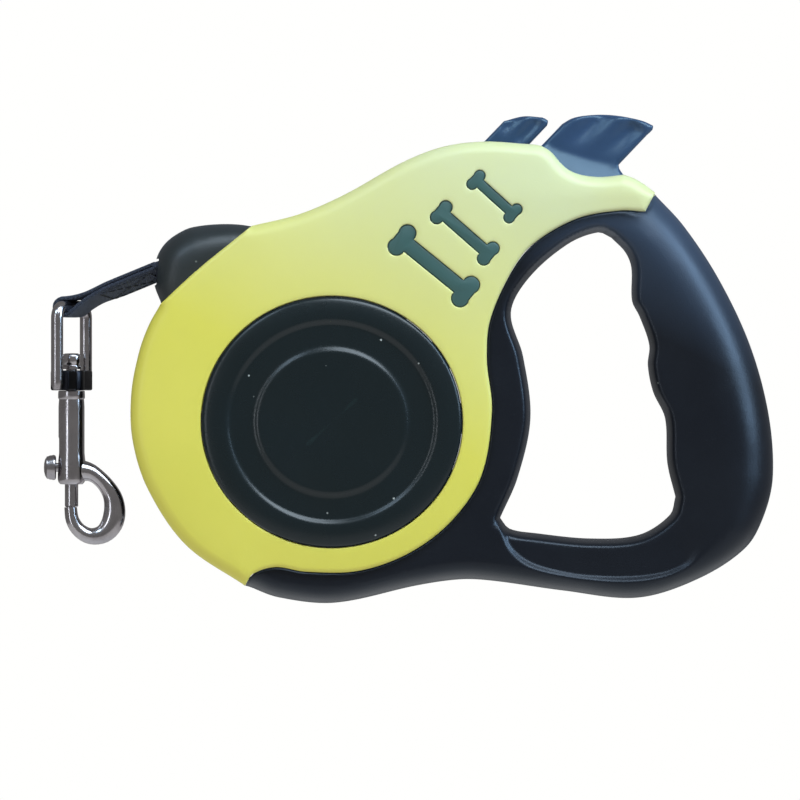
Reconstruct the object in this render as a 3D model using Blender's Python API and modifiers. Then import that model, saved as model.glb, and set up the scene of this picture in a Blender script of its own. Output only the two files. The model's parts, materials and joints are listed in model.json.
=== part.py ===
"""A retractable dog leash: two-part casing, grip loop, sprung tape reel, brake, lock and bolt snap.

Run it with: blender --background --python part.py

The constants are in millimetres, measured from the reel's axis: +X runs back to the grip, +Z is up, and Y runs
from the user's left (-Y) to the right (+Y). The finished model is in metres, with its origin inside the grip.
"""

import math

import bmesh
import bpy
from mathutils import Matrix, Vector

MM = 0.001
REEL_FROM_GRIP = (-99, 0, -6)

# Depths, each measured from the middle plane
GAP = 0.15
CASE_HALF = 15
CASE_CAVITY_HALF = 12.2
HANDLE_HALF = 12.5
HANDLE_CAVITY_HALF = 10
NOZZLE_HALF = 12.5
CASE_WALL = 2.4
CASE_ROUNDING = 3
HANDLE_ROUNDING = 4
NOZZLE_ROUNDING = 1.5
OUTLINE_SPACING = 6.5

# Outlines of the casing and the grip, as runs that meet at corners
CASE_TOP = [(-20.8, 51), (-8.3, 54.1), (3.6, 59.3), (18.5, 67.6), (39.5, 72.9), (60, 70.8), (74, 66.6), (84, 59.5)]
SHOULDER = [(84, 59.5), (81.4, 54.6)]
SEAM = [
    (81.4, 54.6), (74.9, 54.9), (63.7, 52.8), (52.4, 46.3), (46.8, 39.3), (41.1, 26.3), (40.3, 16),
    (41.6, 3), (38.8, -14.1), (30.9, -25.9), (19.8, -34.2), (6.8, -38.7), (-6.9, -38.9), (-14.6, -37.7),
    (-20.5, -39.5), (-22.6, -42.6),
]
CASE_FRONT = [
    (-22.6, -42.6), (-38.2, -32.1), (-48.4, -17.6), (-52.3, -4), (-52.6, 8), (-50.4, 18.7), (-48, 25.2),
    (-44.5, 30.7),
]
NOZZLE_SEAM = [(-44.5, 30.7), (-35.2, 39.3), (-25.4, 47.3), (-20.8, 51)]
NOZZLE_TIP = [(-25.4, 47.3), (-23.4, 51.3)]
NOZZLE_DOME = [
    (-23.4, 51.3), (-28.9, 51.6), (-38.2, 50.3), (-43.2, 46.9), (-45.8, 42.6), (-46.4, 36.1), (-44.5, 30.7),
]
HANDLE_BACK = [
    (84, 59.5), (91.8, 51), (101, 37), (109, 20), (113.8, 2.3), (115, -13.8), (112.8, -24), (107.9, -32.8),
    (95.4, -41), (79.5, -45.9), (60, -44), (42, -41.5), (33.7, -41.1), (22.6, -42.6), (0.8, -47.2),
    (-14, -45.8), (-22.6, -42.6),
]
HAND_HOLE_FRONT = [
    (72.8, 48), (69.4, 49.4), (61.4, 46.3), (51.2, 37.4), (46.6, 28.5), (49.8, 17), (51.7, 1), (48.4, -14.4),
    (43.8, -25),
]
HAND_HOLE_FLOOR = [
    (43.8, -25), (46.2, -27.8), (53, -29), (67.6, -30.4), (80.1, -29.4), (88.1, -24.2), (89.5, -19.5),
]
HAND_HOLE_FINGERS = [
    (89.5, -19.5), (87.4, -10.7), (86.8, 1), (83.7, 7.8), (82.3, 14.8), (82.7, 20), (80.1, 27.6), (78.2, 31.5),
    (78, 40.3), (76.4, 44.3), (72.8, 48),
]
GRIP_CAVITY = [
    (86, 52), (97, 36), (105.5, 19), (110, 2), (111.3, -13.5), (109, -23), (104.5, -30), (93.5, -37.5),
    (79, -42.5), (62, -41), (50, -39.5), (50, -33.5), (67, -34.5), (82, -33), (92, -27), (93.5, -19), (91, -8),
    (90, 3), (86, 18), (83.5, 29), (81.5, 40),
]

# Side caps and arbor
CAP_OVAL = 0.962
CAP_RECESS_RADIUS = 34.1
CAP_RECESS_FLOOR = 14
CAP_PROFILE = [
    (0, 16), (19.2, 16), (19.8, 15.2), (26.6, 15.2), (27.4, 16), (32.6, 16), (33.8, 15.2), (33.8, 14.3), (0, 14.3),
]
ARBOR_RADIUS = 3.9
ARBOR_HALF = 11.9
ARBOR_CHAMFER = 0.5
ARBOR_SLOT = (3, 0.8)
SOCKET_BORE = 4.2
SOCKET_RADIUS = 6.6
SOCKET_TIP = 8.2

# Reel: hub, two toothed flanges, spring and tape
TEETH = 12
TOOTH_ROOT_RADIUS = 32.9
TOOTH_TIP_RADIUS = 36.4
TOOTH_SPAN_DEG = 11
FLANGE_INNER = 5.4
FLANGE_OUTER = 6.9
HUB_RADIUS = 17
HUB_BORE = 15.2
HUB_RIM_RADIUS = 16.1
SPRING_COVER_RADIUS = 14.9
COIL_INNER = 17.3
COIL_OUTER = 32.6
TAPE_HALF = 5
TAPE_THICKNESS = 0.8
MAINSPRING_TURNS = 6
MAINSPRING_INNER = 4.8
MAINSPRING_OUTER = 14.4
MAINSPRING_HALF_THICKNESS = 0.25
MAINSPRING_HALF = 4

# Buttons: "along" is the distance from the reel's axis on the line that they are pressed along
PRESS_ANGLE = math.radians(46.46)
TOOTH_GAP_CENTRE = PRESS_ANGLE
FIN_HALF = 5.5
STEM_HALF = 4
BRAKE_FIN = [
    (84, -8), (84, 9.9), (99.1, 9.6), (102.8, 7.4), (106.7, 3.9), (109.9, -0.25), (112.6, -4.8), (113.5, -7.5),
    (112, -8),
]
BRAKE_OPENING = (80, 120, -8, 9.9)
BRAKE_STEM = (41, 86, -2.6, 2.6)
BRAKE_CROSSBAR = (39.2, 44, -3, 3)
BRAKE_PRONG = (37.3, 40.2, -2.8, 2.8)
CROSSBAR_HALF = 7.2
PRONG_INNER = 5.5
PRONG_OUTER = 7
BRAKE_SHELF = (64.4, 66.6, 3.6, 9.8)
BRAKE_SPRING = (66.9, 83.7, 6.6)
LOCK_FIN = [(76, 12.9), (76, 21.6), (87.6, 21.5), (92, 18.7), (95.7, 14.5), (96, 13)]
LOCK_OPENING = (72, 120, 12.9, 21.6)
LOCK_STEM = [
    (56, 3.8), (59, 3.8), (59, 13.6), (78, 13.6), (78, 17.6), (64.5, 17.6), (64.5, 28), (61.5, 28), (61.5, 17.6),
    (56, 17.6),
]
LOCK_SHELF = (50, 52.7, 23.4, 28.4)
LOCK_SPRING = (53, 61.2, 25.8)
SLOT_CLEARANCE = 0.4
FIN_ROUNDING = 0.8
PRESS_SPRING_WIRE = 0.3
PRESS_SPRING_RADIUS = 1.8
PRESS_SPRING_TURNS = 5

# Bones in the side walls: end centres and shaft width, in rising size
BONES = [((37.4, 62.8), (47, 54.1), 2.5), ((28.4, 54.4), (40.6, 43.7), 3), ((18.2, 47.2), (34.7, 33.8), 3.9)]
LOBE_RADIUS = 0.62
LOBE_OFFSET = 0.58
LOBE_STEPS = 6
BONE_PLATE = [(43, -6), (43, 23.5), (62, 21.5), (75.5, 18), (75.5, -0.5), (60, -3)]
BONE_PLATE_DEPTHS = (10.8, 11.9)
BONE_FACE_DEPTH = 14.4
BONE_CLEARANCE = 0.3

# Screws: (x, z) of the casing's and the grip's, all driven from the right side
CASE_SCREWS = [(-40, 20), (2, 49), (-32, -28), (74.4, 59.2)]
HANDLE_SCREWS = [(101, 0), (62, -37.2)]
POST_RADIUS = 3.2
PILOT_RADIUS = 1.5
PILOT_DEPTH = 9
SCREW_HOLE_RADIUS = 1.7
HEAD_SEAT = 6
HEAD_HOLE_RADIUS = 3
SCREW_PROFILE = [(0, 8.4), (1.6, 8.2), (2.7, 7.2), (2.7, 6.3), (1.35, 6.3), (1.35, -7.2), (0.7, -8.4), (0, -8.4)]
SCREW_RECESS = (3, 3, 0.7)

# Keys that lock the grip to the casing across the seam: centre, then half sizes
SEAM_KEYS = [(77.5, 54.7), (0, -39.7)]
KEY_HALF = (3, 2.4)
KEY_DEPTHS = (4, 8)
KEY_CLEARANCE = 0.3

# Tape from the coil through the nozzle to the snap
TAPE_DOWN = Vector((-0.9248, 0, -0.3805))
TAPE_UP = Vector((-0.3805, 0, 0.9248))
TAPE_BEND = (-40.6, 41.6)
RUN_START = (6.35, 32.4)
RUN_END = (-37.2, 40.95)
TAPE_END_LENGTH = 26
STRAP_HALF = 1.2
LOOP_OUTER = 3.2
LOOP_HOLE = 2.2
LOOP_BACK = -1.2
LOOP_TAPER = 7
NOZZLE_CHANNEL = [
    (-20, 35.4), (-20, 40.6), (-38, 43.7), (-44.6, 46.4), (-50, 48), (-52, 32), (-46, 33.2), (-43, 35.4),
    (-39.5, 37.9), (-37, 38.3),
]
NOZZLE_SPIGOT = [(-29, 35), (-25.5, 44.2), (-38, 46.6), (-41.5, 37.5)]
CHANNEL_HALF = 6.2
SPIGOT_HALF = 8
SPIGOT_CLEARANCE = 0.35

# Bolt snap, hanging from the eye's bar
EYE_BAR = Vector((-67.95, 0, 30))
EYE_ACROSS = Vector((0.45, 0.893, 0))
EYE_HALF_WIDTH = 8.6
EYE_WIRE = 1.5
EYE_CORNER = 2.2
EYE_BASE_SIZE = (19.6, 5, 5.2)
EYE_BASE_CENTRE_Z = 10.8
EYE_BASE_ROUNDING = 1.2
EYE_BASE_BORE = [(0, 16), (1.65, 16), (1.65, 6), (0, 6)]
SNAP_AXIS = (-67.95, 0)
BARREL_PROFILE = [
    (1.65, 7.9), (2.9, 7.9), (3.5, 7.2), (3.5, -8.6), (3.6, -9.6), (3.6, -15.3), (3.1, -16.3), (2.05, -16.3),
    (2.05, 6.5), (1.65, 6.5),
]
BOW_PATH = [
    (-66.3, -12.8), (-62.5, -13.4), (-58.9, -16), (-56.4, -19.8), (-55.8, -23.6), (-56.9, -27), (-59.7, -29.2),
    (-63, -29.4), (-66, -27.8), (-67.6, -25.6), (-68, -22.6),
]
BOW_WIRE = 2.1
BORE_RADIUS = 2.05
BORE_SPAN = (-18.5, 6.4)
BOLT_RADIUS = 1.75
BOLT_BOTTOM = -22.3
BOLT_TOP = -5
KNOB_CENTRE = (-73.5, 0, -11.9)
KNOB_RADII = (1.6, 2.4, 3.1)
KNOB_NECK_RADIUS = 0.8
KNOB_SLOT = (-13.1, -4.2)
KNOB_SLOT_CLEARANCE = 0.3
BOW_TIP_FLAT = (6, 6, 3)
BOW_TIP_CLEARANCE = 0.3
BOLT_SPRING_WIRE = 0.25
BOLT_SPRING_RADIUS = 1.4
BOLT_SPRING_TURNS = 7
BOLT_SPRING_TOP = 5.1
RIVET_PROFILE = [
    (0, 16.8), (1.5, 16.5), (2.6, 15.2), (2.6, 13.7), (1.35, 13.7), (1.35, 6.2), (1.75, 6.2), (1.75, 5.4), (0, 5.4),
]

# Colour, roughness and metallic value of each material
YELLOW_PLASTIC = ("yellow_plastic", (0.62, 0.68, 0.09), 0.45, 0)
BLACK_RUBBER = ("black_rubber", (0.02, 0.025, 0.03), 0.55, 0)
BLACK_PLASTIC = ("black_plastic", (0.015, 0.018, 0.022), 0.4, 0)
TEAL_PLASTIC = ("teal_plastic", (0.05, 0.09, 0.09), 0.5, 0)
WHITE_PLASTIC = ("white_plastic", (0.75, 0.75, 0.72), 0.45, 0)
WEBBING = ("webbing", (0.02, 0.022, 0.03), 0.85, 0)
NICKEL = ("nickel", (0.72, 0.71, 0.69), 0.18, 1)
SPRING_STEEL = ("spring_steel", (0.45, 0.46, 0.48), 0.3, 1)

ROUND_STEPS = 18
FINE_STEPS = 36
SPRING_STEPS = 8
FAR = 400
UPRIGHT = Matrix.Rotation(math.pi / 2, 4, "X")


# ---- plane geometry ----


def through(points, spacing=OUTLINE_SPACING, closed=False):
    """Points along a smooth curve through the given ones. An open run leaves out its last point."""
    points = [Vector(point) for point in points]
    count = len(points)
    run = []
    for i in range(count if closed else count - 1):
        start, end = points[i], points[(i + 1) % count]
        span = (end - start).length
        before = points[i - 1] if i or closed else start * 2 - end
        after = points[(i + 2) % count] if i + 2 < count or closed else end * 2 - start
        leave = (end - before) * span / (span + (start - before).length)
        arrive = (after - start) * span / (span + (after - end).length)
        pieces = max(1, round(span / spacing))
        for k in range(pieces):
            t = k / pieces
            turn = (leave * (1 - t) - arrive * t) * t * (1 - t)
            bend = (end - start) * t * (1 - t) * (2 * t - 1)
            run.append(start.lerp(end, t) + turn + bend)
    return run


def inset(outline, distance):
    """The outline moved inward, each corner along its own bisector."""
    area = sum(a.x * b.y - b.x * a.y for a, b in zip(outline, outline[1:] + outline[:1]))
    side = math.copysign(1, area)
    moved = []
    for i, point in enumerate(outline):
        before = (point - outline[i - 1]).normalized()
        after = (outline[(i + 1) % len(outline)] - point).normalized()
        inward = (before + after).normalized().orthogonal() * side
        reach = min(1.6, 1 / max(0.2, abs((before + after).length / 2)))
        moved.append(point + inward * distance * reach)
    return moved


def circle(centre, radius, steps=ROUND_STEPS):
    turns = [2 * math.pi * i / steps for i in range(steps)]
    return [Vector((centre[0] + radius * math.cos(a), centre[1] + radius * math.sin(a))) for a in turns]


def case_outline():
    return through(CASE_TOP) + through(SHOULDER) + through(SEAM) + through(CASE_FRONT) + through(NOZZLE_SEAM)


def handle_outline():
    return through(HANDLE_BACK) + through(SEAM[::-1]) + through(SHOULDER[::-1])


def hand_hole_outline():
    return through(HAND_HOLE_FRONT) + through(HAND_HOLE_FLOOR) + through(HAND_HOLE_FINGERS)


def nozzle_outline():
    return through(NOZZLE_DOME, 3) + through(NOZZLE_SEAM[:-1], 3) + through(NOZZLE_TIP)


def on_press_line(along, across):
    """The (x, z) of a place given along the buttons' line of travel and across it."""
    c, s = math.cos(PRESS_ANGLE), math.sin(PRESS_ANGLE)
    return Vector((along * c - across * s, along * s + across * c))


def press_block(block, margin=0):
    low, high, left, right = block
    corners = [
        (low - margin, left - margin), (high + margin, left - margin),
        (high + margin, right + margin), (low - margin, right + margin),
    ]
    return [on_press_line(*corner) for corner in corners]


def bone_outline(ends, shaft):
    """A bone: a straight shaft between two pairs of round lobes."""
    near, far = Vector(ends[0]), Vector(ends[1])
    axis = (far - near).normalized()
    lobe = LOBE_RADIUS * shaft
    outline = []
    for centre, outward in ((far, axis), (near, -axis)):
        across = Vector((-outward.y, outward.x))
        for side in (-1, 1):
            middle = centre + across * side * LOBE_OFFSET * shaft
            for step in range(LOBE_STEPS):
                angle = math.radians(79 * side - 108 + 216 / (LOBE_STEPS - 1) * step)
                outline.append(middle + (outward * math.cos(angle) + across * math.sin(angle)) * lobe)
    return outline


# ---- making objects ----


def clear_scene():
    for obj in list(bpy.data.objects):
        bpy.data.objects.remove(obj)


def new_collection(name):
    collection = bpy.data.collections.new(name)
    bpy.context.scene.collection.children.link(collection)
    return collection


def material(values):
    name, colour, roughness, metallic = values
    made = bpy.data.materials.get(name) or bpy.data.materials.new(name)
    made.use_nodes = True
    made.diffuse_color = (*colour, 1)
    shader = made.node_tree.nodes["Principled BSDF"]
    shader.inputs["Base Color"].default_value = (*colour, 1)
    shader.inputs["Roughness"].default_value = roughness
    shader.inputs["Metallic"].default_value = metallic
    return made


def new_part(name, mesh):
    obj = bpy.data.objects.new(name, mesh)
    PARTS.objects.link(obj)
    obj.parent = REEL_ORIGIN
    return obj


def mesh_of_curve(name, curve, placement):
    """The curve as a welded mesh whose faces point outward, placed by a matrix."""
    holder = bpy.data.objects.new(name + "_curve", curve)
    bpy.context.scene.collection.objects.link(holder)
    graph = bpy.context.evaluated_depsgraph_get()
    mesh = bpy.data.meshes.new_from_object(holder.evaluated_get(graph))
    bpy.data.objects.remove(holder)
    work = bmesh.new()
    work.from_mesh(mesh)
    bmesh.ops.remove_doubles(work, verts=work.verts, dist=0.001 * MM)
    bmesh.ops.transform(work, matrix=placement, verts=work.verts)
    bmesh.ops.recalc_face_normals(work, faces=work.faces)
    work.to_mesh(mesh)
    work.free()
    return mesh


def slab(name, outlines, y_from, y_to, rounding=0, frame=UPRIGHT):
    """A flat outline, with any holes after it, filled and extruded along Y, its rims rounded if asked."""
    curve = bpy.data.curves.new(name, "CURVE")
    curve.dimensions = "2D"
    curve.fill_mode = "BOTH"
    curve.extrude = (abs(y_to - y_from) / 2 - rounding) * MM
    curve.bevel_depth = rounding * MM
    curve.offset = -rounding * MM
    curve.bevel_resolution = 1
    for outline in outlines:
        spline = curve.splines.new("POLY")
        spline.points.add(len(outline) - 1)
        for point, (x, z) in zip(spline.points, outline):
            point.co = (x * MM, z * MM, 0, 1)
        spline.use_cyclic_u = True
    centre = Matrix.Translation((0, (y_from + y_to) / 2 * MM, 0))
    return new_part(name, mesh_of_curve(name, curve, centre @ frame))


def wire(name, points, radius, closed=False):
    """A round wire along the points."""
    curve = bpy.data.curves.new(name, "CURVE")
    curve.dimensions = "3D"
    curve.bevel_depth = radius * MM
    curve.bevel_resolution = 1
    curve.use_fill_caps = not closed
    spline = curve.splines.new("POLY")
    spline.points.add(len(points) - 1)
    for point, place in zip(spline.points, points):
        point.co = (*(Vector(place) * MM), 1)
    spline.use_cyclic_u = closed
    return new_part(name, mesh_of_curve(name, curve, Matrix.Identity(4)))


def turned(name, profile, axis, centre=(0, 0, 0), steps=FINE_STEPS, mirrored=False):
    """A (radius, height) profile turned round the Y or the Z axis. A profile that starts off the axis is closed."""
    hollow = profile[0][0] > 0
    mesh = bpy.data.meshes.new(name)
    corners = [(radius * MM, 0, height * MM) for radius, height in profile]
    edges = [(i, i + 1) for i in range(len(corners) - 1)]
    if hollow:
        edges.append((len(corners) - 1, 0))
    mesh.from_pydata(corners, edges, [])
    obj = new_part(name, mesh)
    screw = obj.modifiers.new("turn", "SCREW")
    screw.steps = steps
    screw.render_steps = steps
    screw.use_merge_vertices = True
    screw.merge_threshold = 0.001 * MM
    screw.use_normal_calculate = True
    graph = bpy.context.evaluated_depsgraph_get()
    whole = bpy.data.meshes.new_from_object(obj.evaluated_get(graph))
    obj.modifiers.clear()
    obj.data = whole
    frame = Matrix.Identity(4)
    if axis == "Y":
        frame = Matrix.Rotation(math.pi / 2 if mirrored else -math.pi / 2, 4, "X")
    work = bmesh.new()
    work.from_mesh(whole)
    bmesh.ops.transform(work, matrix=Matrix.Translation(Vector(centre) * MM) @ frame, verts=work.verts)
    bmesh.ops.recalc_face_normals(work, faces=work.faces)
    work.to_mesh(whole)
    work.free()
    return obj


def box(name, centre, size, turn=0):
    """A box, turned about its own vertical axis."""
    mesh = bpy.data.meshes.new(name)
    work = bmesh.new()
    frame = Matrix.Translation(Vector(centre) * MM) @ Matrix.Rotation(turn, 4, "Z")
    scale = Matrix.Diagonal((*(Vector(size) * MM), 1))
    bmesh.ops.create_cube(work, size=1, matrix=frame @ scale)
    work.to_mesh(mesh)
    work.free()
    return new_part(name, mesh)


def boolean(target, other, operation):
    """Adds a Boolean, and files the other object with the cutters."""
    change = target.modifiers.new(other.name, "BOOLEAN")
    change.operation = operation
    change.object = other
    change.solver = "EXACT"
    PARTS.objects.unlink(other)
    CUTTERS.objects.link(other)
    other.hide_render = True
    other.display_type = "WIRE"


def cut(target, cutter):
    boolean(target, cutter, "DIFFERENCE")


def add(target, addition):
    boolean(target, addition, "UNION")


def finish(obj, values, origin=(0, 0, 0)):
    """Gives the object its material, and moves its origin without moving its shape."""
    obj.data.materials.clear()
    obj.data.materials.append(material(values))
    origin = Vector(origin) * MM
    if origin.length:
        obj.data.transform(Matrix.Translation(-origin))
        obj.location = origin


# ---- casing, grip and nozzle ----


def posts(shell, name, places, side, cavity_half):
    """Screw posts on one half: blind pilots on the left, through holes with head seats on the right."""
    tag = "left" if side < 0 else "right"
    for i, place in enumerate(places):
        label = f"{name}_{tag}_post_{i}"
        add(shell, slab(label, [circle(place, POST_RADIUS, 14)], side * GAP, side * (cavity_half + 0.5)))
        if side < 0:
            cut(shell, slab(label + "_pilot", [circle(place, PILOT_RADIUS, 8)], 1, -PILOT_DEPTH))
        else:
            cut(shell, slab(label + "_hole", [circle(place, SCREW_HOLE_RADIUS, 10)], -1, HEAD_SEAT + 1))
            cut(shell, slab(label + "_seat", [circle(place, HEAD_HOLE_RADIUS, 12)], HEAD_SEAT, CASE_HALF + 1))


def keep_side(shell, name, side):
    """Cuts a full-width shell down to one side of the parting plane."""
    cut(shell, box(name + "_other_side", (0, side * (GAP - FAR / 2), 0), (FAR, FAR, FAR)))


def seam_key(name, place, side, margin):
    width, height = KEY_HALF[0] + margin, KEY_HALF[1] + margin
    near, far = KEY_DEPTHS[0] - margin, KEY_DEPTHS[1] + margin
    centre = (place[0], side * (near + far) / 2, place[1])
    return box(name, centre, (2 * width, far - near, 2 * height))


def case_half(side):
    name = "case_left" if side < 0 else "case_right"
    outline = inset(case_outline(), GAP)
    shell = slab(name, [outline], -CASE_HALF, CASE_HALF, CASE_ROUNDING)
    keep_side(shell, name, side)
    cavity = inset(outline, CASE_WALL)
    cut(shell, slab(name + "_cavity", [cavity], -CASE_CAVITY_HALF, CASE_CAVITY_HALF))
    recess = [Vector((point.x, point.y * CAP_OVAL)) for point in circle((0, 0), CAP_RECESS_RADIUS, FINE_STEPS)]
    cut(shell, slab(name + "_cap_recess", [recess], side * CAP_RECESS_FLOOR, side * (CASE_HALF + 2)))
    for i, (*ends, shaft) in enumerate(BONES):
        window = inset(bone_outline(ends, shaft), -BONE_CLEARANCE)
        cut(shell, slab(f"{name}_bone_{i}", [window], side * (CASE_CAVITY_HALF - 1), side * (CASE_HALF + 1)))
    spigot_hole = inset([Vector(point) for point in NOZZLE_SPIGOT], -SPIGOT_CLEARANCE)
    reach = SPIGOT_HALF + SPIGOT_CLEARANCE
    cut(shell, slab(name + "_nozzle_opening", [spigot_hole], -reach, reach))
    half = FIN_HALF + SLOT_CLEARANCE
    for label, opening in (("brake", BRAKE_OPENING), ("lock", LOCK_OPENING)):
        cut(shell, slab(f"{name}_{label}_opening", [press_block(opening, SLOT_CLEARANCE)], -half, half))
    for label, shelf in (("brake", BRAKE_SHELF), ("lock", LOCK_SHELF)):
        rib = slab(f"{name}_{label}_shelf", [press_block(shelf)], side * GAP, side * (CASE_CAVITY_HALF + 0.5))
        add(shell, rib)
    socket_loops = [circle((0, 0), SOCKET_RADIUS), circle((0, 0), SOCKET_BORE)]
    add(shell, slab(name + "_socket", socket_loops, side * SOCKET_TIP, side * (CASE_CAVITY_HALF + 0.5)))
    for i, place in enumerate(SEAM_KEYS):
        add(shell, seam_key(f"{name}_key_{i}", place, side, 0))
    posts(shell, "case", CASE_SCREWS, side, CASE_CAVITY_HALF)
    finish(shell, YELLOW_PLASTIC)


def handle_half(side):
    name = "handle_left" if side < 0 else "handle_right"
    loops = [inset(handle_outline(), GAP), hand_hole_outline()]
    shell = slab(name, loops, -HANDLE_HALF, HANDLE_HALF, HANDLE_ROUNDING)
    keep_side(shell, name, side)
    cavity = through(GRIP_CAVITY, closed=True)
    cut(shell, slab(name + "_cavity", [cavity], -HANDLE_CAVITY_HALF, HANDLE_CAVITY_HALF))
    for i, place in enumerate(SEAM_KEYS):
        cut(shell, seam_key(f"{name}_pocket_{i}", place, side, KEY_CLEARANCE))
    posts(shell, "handle", HANDLE_SCREWS, side, HANDLE_CAVITY_HALF)
    finish(shell, BLACK_RUBBER)


def nozzle():
    dome = slab("nozzle", [inset(nozzle_outline(), GAP)], -NOZZLE_HALF, NOZZLE_HALF, NOZZLE_ROUNDING)
    spigot = [Vector(point) for point in NOZZLE_SPIGOT]
    add(dome, slab("nozzle_spigot", [spigot], -SPIGOT_HALF, SPIGOT_HALF))
    cut(dome, slab("nozzle_channel", [NOZZLE_CHANNEL], -CHANNEL_HALF, CHANNEL_HALF))
    finish(dome, BLACK_RUBBER)


def side_cap(side):
    name = "cap_left" if side < 0 else "cap_right"
    cap = turned(name, CAP_PROFILE, "Y", mirrored=side < 0)
    cap.data.transform(Matrix.Diagonal((1, 1, CAP_OVAL, 1)))
    finish(cap, BLACK_PLASTIC)


def bone_insert(side):
    """A plate behind the side wall whose bones fill the windows. The brake's shelf passes through its slot."""
    name = "bone_insert_left" if side < 0 else "bone_insert_right"
    plate_outline = [on_press_line(*corner) for corner in BONE_PLATE]
    near, far = BONE_PLATE_DEPTHS
    plate = slab(name, [plate_outline, press_block(BRAKE_SHELF, 0.4)], side * near, side * far)
    for i, (*ends, shaft) in enumerate(BONES):
        bone = bone_outline(ends, shaft)
        add(plate, slab(f"{name}_bone_{i}", [bone], side * (near + 0.4), side * BONE_FACE_DEPTH))
    finish(plate, TEAL_PLASTIC)


def screws():
    """Pan-head screws with a cross recess, from the right side into the left half's posts."""
    for i, (x, z) in enumerate(CASE_SCREWS + HANDLE_SCREWS):
        name = f"case_screw_{i + 1}"
        screw = turned(name, SCREW_PROFILE, "Y", centre=(x, 0, z), steps=10)
        for size in (SCREW_RECESS, SCREW_RECESS[::-1]):
            cut(screw, box(f"{name}_recess_{size[0]}", (x, SCREW_PROFILE[0][1], z), size))
        finish(screw, SPRING_STEEL, (x, 0, z))


# ---- reel ----


def toothed_outline():
    """A flange rim with its teeth, a gap between two of them facing the brake."""
    pitch = 2 * math.pi / TEETH
    half_span = math.radians(TOOTH_SPAN_DEG) / 2
    outline = []
    for tooth in range(TEETH):
        middle = TOOTH_GAP_CENTRE + (tooth + 0.5) * pitch
        for angle, radius in (
            (middle - 1.35 * half_span, TOOTH_ROOT_RADIUS), (middle - half_span, TOOTH_TIP_RADIUS),
            (middle + half_span, TOOTH_TIP_RADIUS), (middle + 1.35 * half_span, TOOTH_ROOT_RADIUS),
            (middle + pitch / 2, TOOTH_ROOT_RADIUS),
        ):
            outline.append(Vector((radius * math.cos(angle), radius * math.sin(angle))))
    return outline


def reel():
    drum = slab("reel_drum", [toothed_outline(), circle((0, 0), SOCKET_BORE)], FLANGE_INNER, FLANGE_OUTER)
    wall = [circle((0, 0), HUB_RADIUS, FINE_STEPS), circle((0, 0), HUB_BORE, FINE_STEPS)]
    add(drum, slab("reel_drum_wall", wall, -FLANGE_INNER + 0.3, FLANGE_INNER + 0.5))
    rim = [circle((0, 0), HUB_RIM_RADIUS, FINE_STEPS), circle((0, 0), HUB_BORE, FINE_STEPS)]
    add(drum, slab("reel_drum_rim", rim, -FLANGE_OUTER, -FLANGE_INNER + 1))
    finish(drum, WHITE_PLASTIC)
    flange_loops = [toothed_outline(), circle((0, 0), HUB_RIM_RADIUS + 0.3, FINE_STEPS)]
    finish(slab("reel_flange", flange_loops, -FLANGE_OUTER, -FLANGE_INNER), WHITE_PLASTIC)
    cover_loops = [circle((0, 0), SPRING_COVER_RADIUS, 32), circle((0, 0), SOCKET_BORE)]
    finish(slab("spring_cover", cover_loops, -FLANGE_OUTER + 0.1, -FLANGE_INNER + 0.5), WHITE_PLASTIC)
    coil_loops = [circle((0, 0), COIL_OUTER, FINE_STEPS), circle((0, 0), COIL_INNER, FINE_STEPS)]
    finish(slab("tape_coil", coil_loops, -TAPE_HALF, TAPE_HALF), WEBBING)


def mainspring():
    """A flat spiral strip inside the hub, as one closed outline: out along one side and back along the other."""
    steps = 14 * MAINSPRING_TURNS
    sides = [[], []]
    for i in range(steps + 1):
        angle = 2 * math.pi * MAINSPRING_TURNS * i / steps
        radius = MAINSPRING_INNER + (MAINSPRING_OUTER - MAINSPRING_INNER) * i / steps
        for side, offset in zip(sides, (-MAINSPRING_HALF_THICKNESS, MAINSPRING_HALF_THICKNESS)):
            side.append(Vector((math.cos(angle), math.sin(angle))) * (radius + offset))
    strip = slab("mainspring", [sides[0] + sides[1][::-1]], -MAINSPRING_HALF, MAINSPRING_HALF)
    finish(strip, SPRING_STEEL)


def arbor():
    rim = (ARBOR_RADIUS - ARBOR_CHAMFER, ARBOR_HALF)
    profile = [(0, ARBOR_HALF), rim, (ARBOR_RADIUS, ARBOR_HALF - ARBOR_CHAMFER)]
    profile += [(radius, -height) for radius, height in reversed(profile)]
    pin = turned("arbor", profile, "Y", steps=ROUND_STEPS)
    depth, width = ARBOR_SLOT
    cut(pin, box("arbor_slot", (ARBOR_RADIUS, 0, 0), (depth, 2 * MAINSPRING_HALF, width)))
    finish(pin, SPRING_STEEL)


# ---- buttons ----


def coil_points(low, high, radius, turns):
    """A helix about the Z axis, as (x, y, z) points."""
    count = turns * SPRING_STEPS
    points = []
    for i in range(count + 1):
        angle = 2 * math.pi * i / SPRING_STEPS
        points.append(Vector((radius * math.cos(angle), radius * math.sin(angle), low + (high - low) * i / count)))
    return points


def press_spring(name, span):
    """A coil spring along the buttons' line of travel, between a shelf and a button."""
    low, high, across = span
    room = PRESS_SPRING_WIRE + 0.05
    lean = Matrix.Rotation(math.pi / 2 - PRESS_ANGLE, 4, "Y")
    foot = on_press_line(0, across)
    place = Matrix.Translation((foot.x, 0, foot.y)) @ lean
    helix = coil_points(low + room, high - room, PRESS_SPRING_RADIUS, PRESS_SPRING_TURNS)
    coil = wire(name, [place @ point for point in helix], PRESS_SPRING_WIRE)
    end = on_press_line(low, across)
    finish(coil, SPRING_STEEL, (end.x, 0, end.y))


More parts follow.
